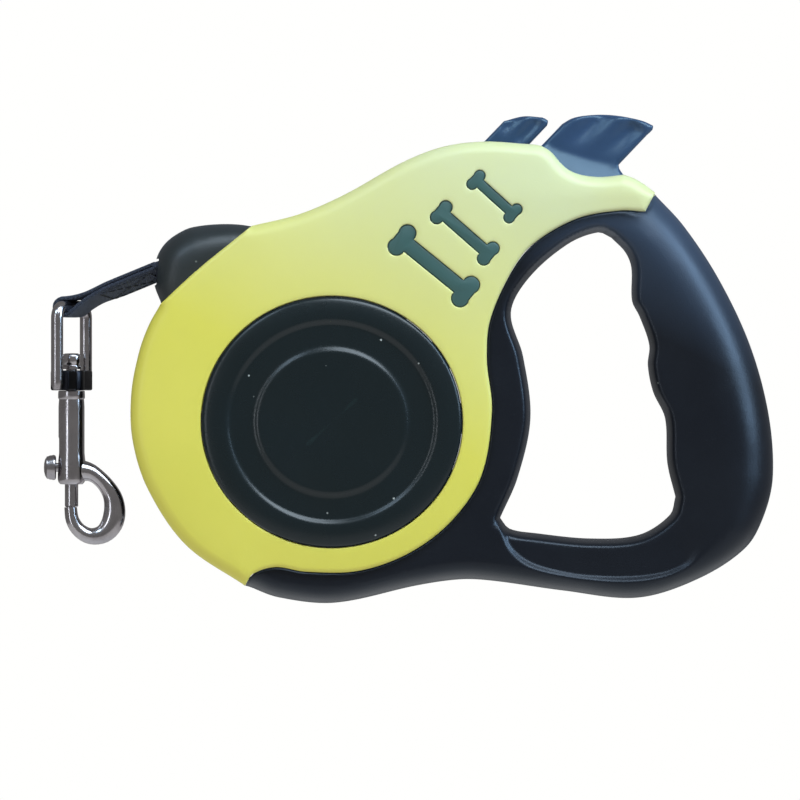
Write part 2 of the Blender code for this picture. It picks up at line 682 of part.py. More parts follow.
def brake_button():
    fin = slab("brake_button", [[on_press_line(*corner) for corner in BRAKE_FIN]], -FIN_HALF, FIN_HALF, FIN_ROUNDING)
    add(fin, slab("brake_stem", [press_block(BRAKE_STEM)], -STEM_HALF, STEM_HALF))
    add(fin, slab("brake_crossbar", [press_block(BRAKE_CROSSBAR)], -CROSSBAR_HALF, CROSSBAR_HALF))
    for side in (-1, 1):
        add(fin, slab(f"brake_prong_{side}", [press_block(BRAKE_PRONG)], side * PRONG_INNER, side * PRONG_OUTER))
    foot = on_press_line(BRAKE_PRONG[0], 0)
    finish(fin, BLACK_PLASTIC, (foot.x, 0, foot.y))
    press_spring("brake_spring", BRAKE_SPRING)


def lock_button():
    fin = slab("lock_button", [[on_press_line(*corner) for corner in LOCK_FIN]], -FIN_HALF, FIN_HALF, FIN_ROUNDING)
    add(fin, slab("lock_stem", [[on_press_line(*corner) for corner in LOCK_STEM]], -STEM_HALF, STEM_HALF))
    foot = on_press_line(*LOCK_STEM[0])
    finish(fin, BLACK_PLASTIC, (foot.x, 0, foot.y))
    press_spring("lock_spring", LOCK_SPRING)


# ---- tape outside the coil ----


def tape_run():
    """The tape between the coil and the nozzle."""
    start, end = Vector(RUN_START), Vector(RUN_END)
    along = (end - start).normalized()
    up = Vector((along.y, -along.x)) * TAPE_THICKNESS
    corners = [start + up * 0.5, end + up * 0.5, end + up * 1.5, start + up * 1.5]
    finish(slab("tape_run", [corners], -TAPE_HALF, TAPE_HALF), WEBBING)


def strap_section(centre, up, across, half_thickness):
    """Four corners of a strap's cross section."""
    return [
        centre + up * u * half_thickness + across * v * TAPE_HALF
        for u, v in ((1, -1), (1, 1), (-1, 1), (-1, -1))
    ]


def tape_neck():
    """The tape inside the nozzle's mouth, where it bends, thickens and twists to meet the stitched end."""
    end = EYE_BAR - TAPE_DOWN * (TAPE_END_LENGTH + 0.3)
    run_down = Vector((RUN_END[0] - RUN_START[0], 0, RUN_END[1] - RUN_START[1])).normalized()
    run_up = Vector((run_down.z, 0, -run_down.x))
    start = Vector((RUN_END[0], 0, RUN_END[1])) + run_down * 0.3 + run_up * TAPE_THICKNESS
    bend = Vector((TAPE_BEND[0], 0, TAPE_BEND[1]))
    level = Vector((0, 1, 0))
    stations = [
        (start, run_up, level, TAPE_THICKNESS / 2),
        (bend, (run_up + TAPE_UP).normalized(), level.lerp(EYE_ACROSS, 0.3), 0.6),
        (end, TAPE_UP, EYE_ACROSS, STRAP_HALF),
    ]
    work = bmesh.new()
    rings = []
    for centre, up, across, half_thickness in stations:
        corners = strap_section(centre, up, across, half_thickness)
        rings.append([work.verts.new(corner * MM) for corner in corners])
    for first, second in zip(rings, rings[1:]):
        for i in range(4):
            work.faces.new((first[i], first[(i + 1) % 4], second[(i + 1) % 4], second[i]))
    work.faces.new(rings[0][::-1])
    work.faces.new(rings[-1])
    bmesh.ops.triangulate(work, faces=work.faces)
    bmesh.ops.recalc_face_normals(work, faces=work.faces)
    mesh = bpy.data.meshes.new("tape_neck")
    work.to_mesh(mesh)
    work.free()
    finish(new_part("tape_neck", mesh), WEBBING)


def tape_end():
    """The doubled, stitched end of the tape, looped round the eye's bar. It is drawn in the tape's own plane."""
    front = [point for point in circle((0, 0), LOOP_OUTER, 20) if point.x > LOOP_BACK]
    front.sort(key=lambda point: math.atan2(point.y, point.x))
    outline = [Vector((-TAPE_END_LENGTH, -STRAP_HALF)), Vector((-LOOP_TAPER, -STRAP_HALF))]
    outline += front + [Vector((-LOOP_TAPER, STRAP_HALF)), Vector((-TAPE_END_LENGTH, STRAP_HALF))]
    frame = Matrix.Identity(4)
    for column, direction in enumerate((TAPE_DOWN, TAPE_UP, EYE_ACROSS)):
        frame.col[column] = (*direction, 0)
    frame.translation = EYE_BAR * MM
    strap = slab("tape_end", [outline, circle((0, 0), LOOP_HOLE, 16)], -TAPE_HALF, TAPE_HALF, frame=frame)
    finish(strap, WEBBING, EYE_BAR)


# ---- bolt snap ----


def swivel_eye():
    bar_half = EYE_ACROSS * EYE_HALF_WIDTH
    points = []
    for side in (-1, 1):
        top = EYE_BAR + bar_half * side
        leg = [Vector((top.x, top.y, EYE_BASE_CENTRE_Z))]
        inward = EYE_ACROSS * -side
        for degrees in (0, 30, 60, 90):
            turn = math.radians(degrees)
            drop, shift = EYE_CORNER * (1 - math.sin(turn)), EYE_CORNER * (1 - math.cos(turn))
            leg.append(top - Vector((0, 0, drop)) + inward * shift)
        points += leg if side < 0 else leg[::-1]
    eye = wire("swivel_eye", points, EYE_WIRE)
    turn = math.atan2(EYE_ACROSS.y, EYE_ACROSS.x)
    base = box("eye_base", (*SNAP_AXIS, EYE_BASE_CENTRE_Z), EYE_BASE_SIZE, turn)
    rounded = base.modifiers.new("rounded", "BEVEL")
    rounded.width = EYE_BASE_ROUNDING * MM
    rounded.segments = 2
    add(eye, base)
    cut(eye, turned("eye_base_hole", EYE_BASE_BORE, "Z", (*SNAP_AXIS, 0), 16))
    finish(eye, NICKEL, EYE_BAR)


def swivel_rivet():
    finish(turned("swivel_rivet", RIVET_PROFILE, "Z", (*SNAP_AXIS, 0), 16), NICKEL, (*SNAP_AXIS, 0))


def hook_body():
    """Barrel and bow. The bow leaves the barrel's side and curls under the bolt."""
    barrel = turned("hook_body", BARREL_PROFILE, "Z", (*SNAP_AXIS, 0), ROUND_STEPS)
    path = through(BOW_PATH, 2.2) + [Vector(BOW_PATH[-1])]
    add(barrel, wire("hook_bow", [Vector((point.x, 0, point.y)) for point in path], BOW_WIRE))
    bottom, top = BORE_SPAN
    bore = [(0, top), (BORE_RADIUS, top), (BORE_RADIUS, bottom), (0, bottom)]
    cut(barrel, turned("hook_bore", bore, "Z", (*SNAP_AXIS, 0), ROUND_STEPS))
    low, high = KNOB_SLOT
    slot_centre = (SNAP_AXIS[0] - 4, 0, (low + high) / 2)
    slot_width = 2 * (KNOB_NECK_RADIUS + KNOB_SLOT_CLEARANCE)
    cut(barrel, box("knob_slot", slot_centre, (6, slot_width, high - low)))
    flat_centre = BOLT_BOTTOM - BOW_TIP_CLEARANCE + BOW_TIP_FLAT[2] / 2
    cut(barrel, box("bow_tip_flat", (SNAP_AXIS[0], 0, flat_centre), BOW_TIP_FLAT))
    finish(barrel, NICKEL, (*SNAP_AXIS, 0))


def hook_bolt():
    """The sliding bolt: a rod with a side neck that carries the thumb knob."""
    rod_profile = [(0, BOLT_TOP), (BOLT_RADIUS, BOLT_TOP), (BOLT_RADIUS, BOLT_BOTTOM), (0, BOLT_BOTTOM)]
    rod = turned("hook_bolt", rod_profile, "Z", (*SNAP_AXIS, 0), 16)
    neck = wire("knob_neck", [(SNAP_AXIS[0] - 1, 0, KNOB_CENTRE[2]), KNOB_CENTRE], KNOB_NECK_RADIUS)
    add(rod, neck)
    knob_mesh = bpy.data.meshes.new("knob")
    work = bmesh.new()
    frame = Matrix.Translation(Vector(KNOB_CENTRE) * MM) @ Matrix.Diagonal((*(Vector(KNOB_RADII) * MM), 1))
    bmesh.ops.create_uvsphere(work, u_segments=14, v_segments=9, radius=1, matrix=frame)
    work.to_mesh(knob_mesh)
    work.free()
    add(rod, new_part("knob", knob_mesh))
    finish(rod, NICKEL, (*SNAP_AXIS, 0))


def bolt_spring():
    low = BOLT_TOP + BOLT_SPRING_WIRE + 0.3
    helix = coil_points(low, BOLT_SPRING_TOP - BOLT_SPRING_WIRE, BOLT_SPRING_RADIUS, BOLT_SPRING_TURNS)
    axis = Vector((*SNAP_AXIS, 0))
    coil = wire("bolt_spring", [axis + point for point in helix], BOLT_SPRING_WIRE)
    finish(coil, SPRING_STEEL, axis)


clear_scene()
PARTS = new_collection("retractable_leash")
CUTTERS = new_collection("cutters")
REEL_ORIGIN = bpy.data.objects.new("reel_origin", None)
REEL_ORIGIN.location = Vector(REEL_FROM_GRIP) * MM
PARTS.objects.link(REEL_ORIGIN)

for hand in (-1, 1):
    case_half(hand)
    handle_half(hand)
    side_cap(hand)
    bone_insert(hand)
nozzle()
screws()
reel()
mainspring()
arbor()
brake_button()
lock_button()
tape_run()
tape_neck()
tape_end()
swivel_eye()
swivel_rivet()
hook_body()
hook_bolt()
bolt_spring()
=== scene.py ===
"""Visual model of a retractable tape leash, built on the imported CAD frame.

The object's lengths are in millimetres, measured from the reel's axis: +X runs back to the grip, +Z is up
and Y runs from the user's left (-Y) to the right (+Y). A flat outline holds (x, z) pairs. Each piece is
turned into metres when made. The studio's lengths are in metres.
"""

import math

import bmesh
import bpy
import numpy as np
from mathutils import Matrix, Vector
from mathutils.geometry import delaunay_2d_cdt
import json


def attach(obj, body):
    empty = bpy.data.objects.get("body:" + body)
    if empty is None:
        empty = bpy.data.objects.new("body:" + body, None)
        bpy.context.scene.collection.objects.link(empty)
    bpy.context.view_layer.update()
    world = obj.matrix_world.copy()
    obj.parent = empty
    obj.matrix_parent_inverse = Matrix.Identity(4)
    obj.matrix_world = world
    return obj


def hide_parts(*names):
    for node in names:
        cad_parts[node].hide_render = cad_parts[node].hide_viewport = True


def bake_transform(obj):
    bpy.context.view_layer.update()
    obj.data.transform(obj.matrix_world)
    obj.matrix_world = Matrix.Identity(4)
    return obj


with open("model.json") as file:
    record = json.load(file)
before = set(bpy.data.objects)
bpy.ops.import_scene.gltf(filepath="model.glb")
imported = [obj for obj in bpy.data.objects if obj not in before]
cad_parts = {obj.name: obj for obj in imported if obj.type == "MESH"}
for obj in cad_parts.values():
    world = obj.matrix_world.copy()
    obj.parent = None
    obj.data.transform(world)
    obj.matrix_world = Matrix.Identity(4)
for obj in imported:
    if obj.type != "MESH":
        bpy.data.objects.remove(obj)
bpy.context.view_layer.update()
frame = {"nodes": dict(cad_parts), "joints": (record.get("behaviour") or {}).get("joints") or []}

MM = 0.001
UP = Vector((0, 0, 1))
SIDEWAYS = Vector((0, 1, 0))
JOINTS = {joint["name"]: joint for joint in frame["joints"]}
REEL = Vector(JOINTS["reel_spin"]["pos_m"])
TO_FRAME = Matrix.Translation(REEL) @ Matrix.Scale(MM, 4)

# Casing: depths from the middle plane, and the radii of its rounded edges
PARTING_GAP = 0.02
SHELL_WALL = 1.2
CASE_HALF = 15
CASE_INSET = 0.05
CASE_ROLL = 3.2
CASE_SEAM_ROLL = 1
CASE_CROWN = 0.9
CASE_CROWN_REACH = 16
CASE_GRID = 2.0
CASE_WALL = (9.5, 7, 4.5, 2, 0.45, PARTING_GAP)
LIP_RADIUS = 0.4
LIP_ROWS = [0.06, 0.2, 0.4, 1.6]

# Grip: its edge is rounded by the first radius along the bottom, and by the second up its back
GRIP_HALF = 12.4
GRIP_INSET = 0.06
GRIP_ROLL = (5, 14)
GRIP_ROLL_ABOVE = (-44, -8)
GRIP_ROLL_BEHIND = (50, 80)
HAND_HOLE_ROLL = 2.5
GRIP_SEAM_ROLL = 0.7
GRIP_GRID = 1.3
GRIP_WALL = (9, 6, 3, 1, PARTING_GAP)

# Nozzle: a dome, kept lower beside its seam with the casing
NOZZLE_HALF = 12.3
NOZZLE_INSET = 0.05
NOZZLE_ROLL = 11
NOZZLE_GRID = 1.0
CREST_HALF = 10.2
CREST_SLOPE = 0.3
CREST_BLEND = 4
MOUTH_CENTRE = Vector((-45.5, 0, 39.2))
MOUTH_SIZE = (16, 10.4, 6.2)
MOUTH_RADIUS = 1.6

# Outlines of the casing and the grip, as runs that meet at corners
CASE_TOP = [
    (-20.8, 51), (-8.3, 54.1), (3.6, 59.3), (18.5, 67.6), (29, 71.6), (39.5, 72.9), (50, 72.3), (54.3, 71.8),
    (57.2, 70), (59.2, 67.6), (61.6, 65.5), (65, 64.2), (70, 63.7), (75.8, 64.3),
]
CASE_REAR = [(75.8, 64.3), (78.2, 63.5), (81.3, 61.7), (84, 59.5)]
BRAKE_OPENING = (55.4, 75.3, 63)  # front, rear, and the lowest z of its edge
SHOULDER = [(84, 59.5), (81.4, 54.6)]
SEAM = [
    (81.4, 54.6), (74.9, 54.9), (63.7, 52.8), (52.4, 46.3), (46.8, 39.3), (41.1, 26.3), (40.3, 16), (41.6, 3),
    (38.8, -14.1), (30.9, -25.9), (19.8, -34.2), (6.8, -38.7), (-6.9, -38.9), (-14.6, -37.7), (-20.5, -39.5),
    (-22.6, -42.6),
]
CASE_FRONT = [
    (-22.6, -42.6), (-38, -32), (-47.8, -17.6), (-51.8, -5), (-52.2, 7), (-50.2, 18), (-47.6, 25.2),
    (-44.5, 30.7),
]
NOZZLE_SEAM = [(-44.5, 30.7), (-35.2, 39.3), (-25.4, 47.3), (-20.8, 51)]
NOZZLE_DOME = [
    (-20.8, 51), (-24.5, 51.5), (-28.9, 51.6), (-34, 51.2), (-38.2, 50.2), (-43.2, 46.9), (-45.8, 42.6),
    (-46.4, 36.1), (-44.5, 30.7),
]
GRIP_BACK = [
    (84, 59.5), (91.8, 51), (101, 37), (109, 20), (113.8, 2.3), (115, -13.8), (112.8, -24), (107.9, -32.8),
    (95.4, -41), (79.5, -45.9), (60, -44), (42, -41.5), (33.7, -41.1), (22.6, -42.6), (0.8, -47.2),
    (-14, -45.8), (-22.6, -42.6),
]
HAND_HOLE = [
    [(72.8, 48), (69.4, 49.4), (61.4, 46.3), (51.2, 37.4), (46.6, 28.5), (49.8, 17), (51.7, 1), (48.4, -14.4),
     (43.8, -25)],
    [(43.8, -25), (46.2, -27.8), (53, -29), (67.6, -30.4), (80.1, -29.4), (88.1, -24.2), (89.5, -19.5)],
    [(89.5, -19.5), (87.4, -10.7), (86.8, 1), (83.7, 7.8), (82.3, 14.8), (82.7, 20), (80.1, 27.6),
     (78.2, 31.5), (78, 40.3), (76.4, 44.3), (72.8, 48)],
]

# The grip's sunk inner field: a crisp step along the bottom bar, a soft one up the back and over the arch
GRIP_FIELD = [
    (43.9, -26), (44.9, -32), (48.6, -36.2), (53.5, -38.7), (62, -40.7), (70, -41.5), (77, -41.6),
    (83.5, -41), (89, -39.6), (94.4, -36.4), (99, -29.5), (101.5, -16), (101.5, 0), (98.5, 15), (92, 32),
    (85, 44), (79, 48.8), (71, 50.3), (64, 47.5), (58, 38), (62, 10), (56, -20), (49, -25),
]
GRIP_FIELD_DEPTH = 1.2
STEP_CRISP = 1.7
STEP_SOFT = 14
STEP_SOFT_ABOVE = (-38, -24)
STEP_SOFT_BEHIND = (60, 92)
STEP_ROWS = (-0.6, -0.17, 0.15, 0.5, 0.85, 1.2, 1.5, 1.75, 2.2)

# Side caps: (radius, depth)
CAP_OVAL = 0.962
CAP_RADIUS = 33.8
CAP_GAP = 0.22
CAP_PROFILE = [
    (0, 15.75), (10, 15.8), (18.6, 15.9), (19.2, 15.85), (20.1, 15.35), (20.7, 15.2), (26, 15.15),
    (26.4, 15.2), (27.3, 15.75), (27.8, 15.9), (30, 15.85), (32, 15.55), (33.2, 15.2), (33.7, 14.8),
    (33.8, 14.4), (33.8, 13.9), (0, 13.9),
]

# Bones in the side walls: end centres and shaft width
BONES = [((37.4, 62.8), (47, 54.1), 2.5), ((28.4, 54.4), (40.6, 43.7), 3), ((18.2, 47.2), (34.7, 33.8), 3.9)]
BONE_SPAN = (11.2, 14.55)
BONE_EDGE = 0.45
BONE_GAP = 0.1

# The plate that carries the bones, behind the wall: (along, across) the buttons' line of travel
INSERT_PLATE = [(43, -6), (43, 23.5), (62, 21.5), (75.5, 18), (75.5, -0.5), (60, -3)]
INSERT_SPAN = (10.8, 11.7)
INSERT_EDGE = 0.3

# Buttons: (along, across) the line that they are pressed on. The flare's own outline is (x, z)
PRESS_ANGLE = math.radians(46.46)
FIN_HALF = 5.4
FIN_GAP = 0.45
FIN_GRID = 0.9
FIN_ROWS = [0.12, 0.35, 0.7, 1.1, 1.8]
FLUTE_DEPTH = 0.2
FLUTE_FADE = (4, 2.5)
BRAKE_BODY = [
    [(97.5, 10), (100.2, 9.2), (102.8, 7.5), (106.7, 3.9), (109.9, -0.25), (112.6, -4.8), (113.5, -7.5)],
    [(113.5, -7.5), (112.6, -8.1), (111, -8)],
    [(111, -8), (99.9, -8)],
    [(99.9, -8), (99.3, -8.8), (98.8, -11.2)],
    [(98.8, -11.2), (89.5, -11.2)],
    [(89.5, -11.2), (78, 10)],
    [(78, 10), (97.5, 10)],
]
BRAKE_FLARE = [(54, 73.5), (58.5, 71.2), (64.4, 69.2), (73.1, 66.9), (78, 65.8)]
BRAKE_FLARE_HALF = 8
BRAKE_FLARE_REACH = 6.5
BRAKE_FLUTE_PITCH = 8.2
BRAKE_FLUTE_SPAN = (90, 112)
BRAKE_ROLL = 1.1
LOCK_BODY = [
    [(87.6, 21.5), (92, 18.7), (95.2, 14.9)],
    [(95.2, 14.9), (95.6, 13.3), (94.6, 12.6)],
    [(94.6, 12.6), (76, 12.6)],
    [(76, 12.6), (76, 21.6)],
    [(76, 21.6), (87.6, 21.5)],
]
LOCK_FLUTE_PITCH = 4.4
LOCK_FLUTE_SPAN = (84, 95)
LOCK_ROLL = 1.0
LOCK_SLOT = (60, 100, 12.2, 22.1)  # from and to along the line, then across it

# Screw wells in the right-hand shells
CASE_SCREWS = [(-40, 20), (2, 49), (-32, -28), (74.4, 59.2)]
GRIP_SCREWS = [(101, 0), (62, -37.2)]
WELL_RADIUS = 3
WELL_LEVELS = (12, 10, 8, 5.9)
WELL_BORE = 1.75
WELL_STEPS = 36

# Tape end, folded round the bar of the stirrup
EYE_BAR = Vector((-67.95, 0, 30))
EYE_ACROSS = Vector((0.45, 0.893, 0))
STRAP_ACROSS = Vector((0.45, 0.87, -0.2)).normalized()
TAPE_DOWN = Vector((-0.9248, 0, -0.3805))
TAPE_UP = Vector((-0.3805, 0, 0.9248))
TAPE_LENGTH = 26
TAPE_HALF = 4.95
LAYER_THICKNESS = 1.15
LAYER_OFFSET = 0.585
LAYER_RISE = [(-TAPE_LENGTH, 0), (-16, 0), (-7.5, 0.03), (-4.8, 0.4)]
SELVEDGE_RIPPLE = 0.006
LOOP_RADIUS = 2.3
TWIST_SPAN = (2.5, 12)
NECK_START = Vector((-34.5, 0, 41.3))
NECK_BEND = Vector((-40.6, 0, 41.6))
NECK_HALVES = (0.4, 0.8, 1.15)
STRAP_STEPS = 28
STRAP_SQUARENESS = 5.0
STITCH_BOX = (-23.5, -9.5, 3.6)
STITCH_PITCH = 2.0
THREAD_SIZE = (0.24, 0.2)

# Bolt snap and the stirrup that it hangs from: profiles are (radius, z)
SNAP_X = -67.95
EYE_HALF_WIDTH = 7.9
EYE_WIRE = 1.6
EYE_CORNER = 3.0
EYE_FOOT_DROP = 2.4
COLLAR_PLACE = Vector((SNAP_X, 0, 10.8))
COLLAR_SIZE = (13.6, 5.4, 5.2)
COLLAR_RADIUS = 0.5
COLLAR_HUB = [(0, 2.7), (3.1, 2.6), (3.4, 2.2), (3.4, -2.45), (3.25, -2.62), (0, -2.68)]
RIVET = [
    (0, 17.9), (1.7, 17.85), (2.2, 17.6), (2.45, 17.1), (2.45, 15.2), (2.3, 15), (2.3, 14.7), (2.9, 14.4),
    (2.9, 13.75), (1.4, 13.7), (1.35, 6.3), (1.7, 6.2), (1.75, 5.5), (0, 5.4),
]
BARREL = [
    (1.65, 6.6), (1.7, 8.1), (3.3, 8.1), (3.46, 7.94), (3.5, 7.1), (3.5, 6.2), (3.25, 5.9), (3.3, 5.5),
    (3.4, 4), (3.4, -8), (3.5, -9.2), (3.6, -10), (3.6, -14.9), (3.4, -15.7), (2.9, -16.25), (2.1, -16.3),
    (2.05, -15.6), (2.05, 6.4),
]
BARREL_BORE = [(0, 6.3), (2.04, 6.3), (2.04, -18.6), (0, -18.6)]
KNOB_SLOT_CENTRE = Vector((SNAP_X - 4, 0, -8.65))
KNOB_SLOT_SIZE = (6, 2.2, 9.2)
KNOB_SLOT_RADIUS = 0.6
BOW = [
    (-66.3, -12.6), (-62.8, -13.3), (-59.6, -15.8), (-57.3, -19.4), (-56.7, -23.2), (-57.5, -26.7),
    (-59.7, -29.2), (-63, -29.8), (-65.9, -28.3), (-67.7, -25.6), (-68.2, -22.15),
]
BOW_CUP = [(0, 3), (2.2, 3), (2.2, 0.05), (1.5, -0.05), (0, -0.5)]
BOLT_SPAN = (-22.2, -5)
BOLT_RADIUS = 1.75
BOLT_CHAMFER = 0.25
BOLT_SHOULDER = -11.7
STEM_RADIUS = 1.0
STEM_CHAMFER = 0.2
KNOB = Vector((-73.5, 0, -11.9))
KNOB_NECK = (1.2, 0.8)
KNOB_STRETCH = 1.12
KNOB_PROFILE = [
    (0, -1.5), (2.5, -1.5), (2.85, -1.3), (2.95, -0.8), (2.8, -0.2), (2.85, 0), (2.6, 0.6), (2.65, 0.8),
    (1.9, 1.35), (1, 1.6), (0, 1.65),
]

# Painted highlight: casing and grip are painted paler towards the top rear, where the light falls, over these
# stretches of that direction
PAINTED_LIGHT_DIRECTION = (0.45, 0, 0.9)
PAINTED_LIGHT_SPAN = (8, 76)
GRIP_PAINTED_LIGHT_SPAN = (58, 100)

# Studio, in metres. The floor is clear of the snap when the tape is pulled right out
CAMERA_PLACE = (-0.0813, -3, -0.0003)
CAMERA_VIEW_WIDTH = 0.2086
CAMERA_SENSOR_MM = 36
WORLD_LIGHT = 0.2
FLOOR_LEVEL = -1.35
FLOOR_HALF = 30
FLOOR_GLOW = 0.86


# ---- plane geometry ----


def through(points, spacing=1.1, closed=False):
    """Points along a smooth curve through the given ones. An open run leaves out its last point."""
    points = [np.array(point, float) for point in points]
    count = len(points)
    run = []
    for i in range(count if closed else count - 1):
        start, end = points[i], points[(i + 1) % count]
        span = np.linalg.norm(end - start)
        before = points[i - 1] if i or closed else start * 2 - end
        after = points[(i + 2) % count] if i + 2 < count or closed else end * 2 - start
        leave = (end - before) * span / (span + np.linalg.norm(start - before))
        arrive = (after - start) * span / (span + np.linalg.norm(after - end))
        pieces = max(1, round(span / spacing))
        for k in range(pieces):
            t = k / pieces
            turn = (leave * (1 - t) - arrive * t) * t * (1 - t)
            bend = (end - start) * t * (1 - t) * (2 * t - 1)
            run.append(start + (end - start) * t + turn + bend)
    return np.array(run)


def joined(runs, spacing=1.1):
    return np.concatenate([through(run, spacing) for run in runs])


def circle(centre, radius, steps=48, oval=1):
    turn = np.arange(steps) * 2 * math.pi / steps
    return np.stack([centre[0] + radius * np.cos(turn), centre[1] + radius * oval * np.sin(turn)], 1)


def distance(points, line, closed=True):
    """How far each point is from the line."""
    starts = line if closed else line[:-1]
    ends = np.roll(line, -1, 0) if closed else line[1:]
    nearest = np.full(len(points), np.inf)
    for start, end in zip(starts, ends):
        along = end - start
        t = np.clip((points - start) @ along / max(along @ along, 1e-12), 0, 1)
        nearest = np.minimum(nearest, np.linalg.norm(points - start - t[:, None] * along, axis=1))
    return nearest


def inside(points, loop):
    hit = np.zeros(len(points), bool)
    for start, end in zip(loop, np.roll(loop, -1, 0)):
        if start[1] == end[1]:
            continue
        crosses = (start[1] > points[:, 1]) != (end[1] > points[:, 1])
        reach = start[0] + (end[0] - start[0]) * (points[:, 1] - start[1]) / (end[1] - start[1])
        hit ^= crosses & (points[:, 0] < reach)
    return hit


def shrunk(loop, amount):
    """The loop moved inward by amount, or outward where it is negative."""
    following, previous = np.roll(loop, -1, 0), np.roll(loop, 1, 0)
    area = np.sum(loop[:, 0] * following[:, 1] - following[:, 0] * loop[:, 1])
    tangent = following - previous
    inward = np.stack([-tangent[:, 1], tangent[:, 0]], 1) * math.copysign(1, area)
    return loop + inward / np.linalg.norm(inward, axis=1)[:, None] * amount


def roll(depth, radius, height):
    """The height that a rounded edge has lost at this distance from the edge."""
    share = np.clip(1 - depth / radius, 0, 1)
    return height * (1 - np.sqrt(1 - share**2))


def step(value, low=0, high=1):
    t = np.clip((value - low) / (high - low), 0, 1)
    return t * t * (3 - 2 * t)


def softer_min(first, second, blend=1.2):
    """The lesser of two heights, with a fillet where they meet."""
    share = np.clip(0.5 + (second - first) / (2 * blend), 0, 1)
    return second * (1 - share) + first * share - blend * share * (1 - share)


def edge_rows(radius, count=7):
    """Distances from an edge that follow a rounding of this radius."""
    return [radius * (1 - math.cos(math.pi / 2 * i / count)) for i in range(1, count + 1)]


def on_press_line(along, across):
    """The (x, z) of a place given along the buttons' line of travel and across it."""
    c, s = math.cos(PRESS_ANGLE), math.sin(PRESS_ANGLE)
    return (along * c - across * s, along * s + across * c)


def case_outline():
    return joined([CASE_TOP, CASE_REAR, SHOULDER, SEAM, CASE_FRONT, NOZZLE_SEAM])


def grip_outline():
    return joined([GRIP_BACK, SEAM[::-1], SHOULDER[::-1]])


def divided(loop, spacing):
    """The loop with more points along its longer sides."""
    points = []
    for start, end in zip(loop, np.roll(loop, -1, 0)):
        count = max(1, round(float(np.linalg.norm(end - start)) / spacing))
        points += [start + (end - start) * k / count for k in range(count)]
    return np.array(points)


def bone_loop(near, far, shaft):
    """A bone: a straight shaft between two pairs of round lobes."""
    near, far = np.array(near), np.array(far)
    axis = (far - near) / np.linalg.norm(far - near)
    lobe = 0.58 * shaft
    points = []
    for centre, outward in ((far, axis), (near, -axis)):
        across = np.array((-outward[1], outward[0]))
        for side in (-1, 1):
            middle = centre + across * side * 0.58 * shaft
            for turn in range(13):
                angle = math.radians(79 * side - 108 + 18 * turn)
                points.append(middle + (outward * math.cos(angle) + across * math.sin(angle)) * lobe)
    return divided(np.array(points), 0.7)


# ---- meshes ----


def filled(edges, grid, crease=None):
    """Points and triangles between an outline and its holes.

    Each edge is (loop, distances of the rows beside it). A crease is more points, and the others keep
    clear of it.
    """
    outline = edges[0][0]
    low, high = outline.min(0), outline.max(0)
    across = np.arange(low[0], high[0], grid)
    up = np.arange(low[1], high[1], grid * 0.866)
    lattice = np.array([(x + grid / 2 * (row % 2), z) for row, z in enumerate(up) for x in across])
    candidates = [(lattice, None, 0)]
    for k, (loop, rows) in enumerate(edges):
        candidates += [(shrunk(loop, row if k == 0 else -row), k, row) for row in rows]
    if crease is not None:
        clear = [distance(points, crease) > 0.35 for points, _, _ in candidates]
        candidates = [(points[far], own, row) for (points, own, row), far in zip(candidates, clear)]
        candidates.append((crease, len(edges), 0))
    found = []
    for points, own, row in candidates:
        keep = inside(points, outline)
        for k, (loop, rows) in enumerate(edges):
            margin = 0.7 * row if k == own else (max(rows) + grid * 0.6 if own is None else 0.35)
            keep &= distance(points, loop) > margin
            if k:
                keep &= ~inside(points, loop)
        found.append(points[keep])
    loops = [loop for loop, _ in edges]
    points = np.concatenate(loops + found)
    sides = []
    first = 0
    for loop in loops:
        sides += [(first + i, first + (i + 1) % len(loop)) for i in range(len(loop))]
        first += len(loop)
    flat, _, faces, *_ = delaunay_2d_cdt([Vector(p) for p in points], sides, [], 0, 1e-5)
    flat = np.array([tuple(p) for p in flat])
    faces = np.array([face for face in faces if len(face) == 3])
    middles = flat[faces].mean(1)
    keep = inside(middles, outline)
    for loop in loops[1:]:
        keep &= ~inside(middles, loop)
    return flat, faces[keep]


def height_field(edges, height, grid, side=1, crease=None):
    """A bmesh of the surface over the outline, at height(points) from the middle plane on the given side."""
    flat, faces = filled(edges, grid, crease)
    depth = height(flat) * side
    work = bmesh.new()
    verts = [work.verts.new((p[0], y, p[1])) for p, y in zip(flat, depth)]
    for a, b, c in faces:
        work.faces.new((verts[a], verts[b], verts[c]))
    loose = [vert for vert in verts if not vert.link_faces]
    bmesh.ops.delete(work, geom=loose, context="VERTS")
    return work


def border(work, loop=None, reach=0.02):
    """The open edges of a bmesh, or only those on the loop."""
    edges = [edge for edge in work.edges if edge.is_boundary]
    if loop is None:
        return edges
    middles = np.array([((e.verts[0].co + e.verts[1].co) / 2).xz for e in edges])
    near = distance(middles, loop) < reach
    return [edge for edge, on in zip(edges, near) if on]


def pulled(work, edges, place):
    """Extrudes the edges and puts each new point where place() says. It returns the new outer edges."""
    made = bmesh.ops.extrude_edge_only(work, edges=edges)["geom"]
    verts = [item for item in made if isinstance(item, bmesh.types.BMVert)]
    for vert in verts:
        vert.co = place(vert.co)
    fresh = set(verts)
    return [e for e in made if isinstance(e, bmesh.types.BMEdge) and set(e.verts) <= fresh]


def walled(work, edges, levels):
    """Walls from the edges along Y, through each level as a distance from the middle plane."""
    for level in levels:

        def lowered(co):
            return Vector((co.x, math.copysign(min(level, abs(co.y)), co.y), co.z))

        edges = pulled(work, edges, lowered)
    return edges


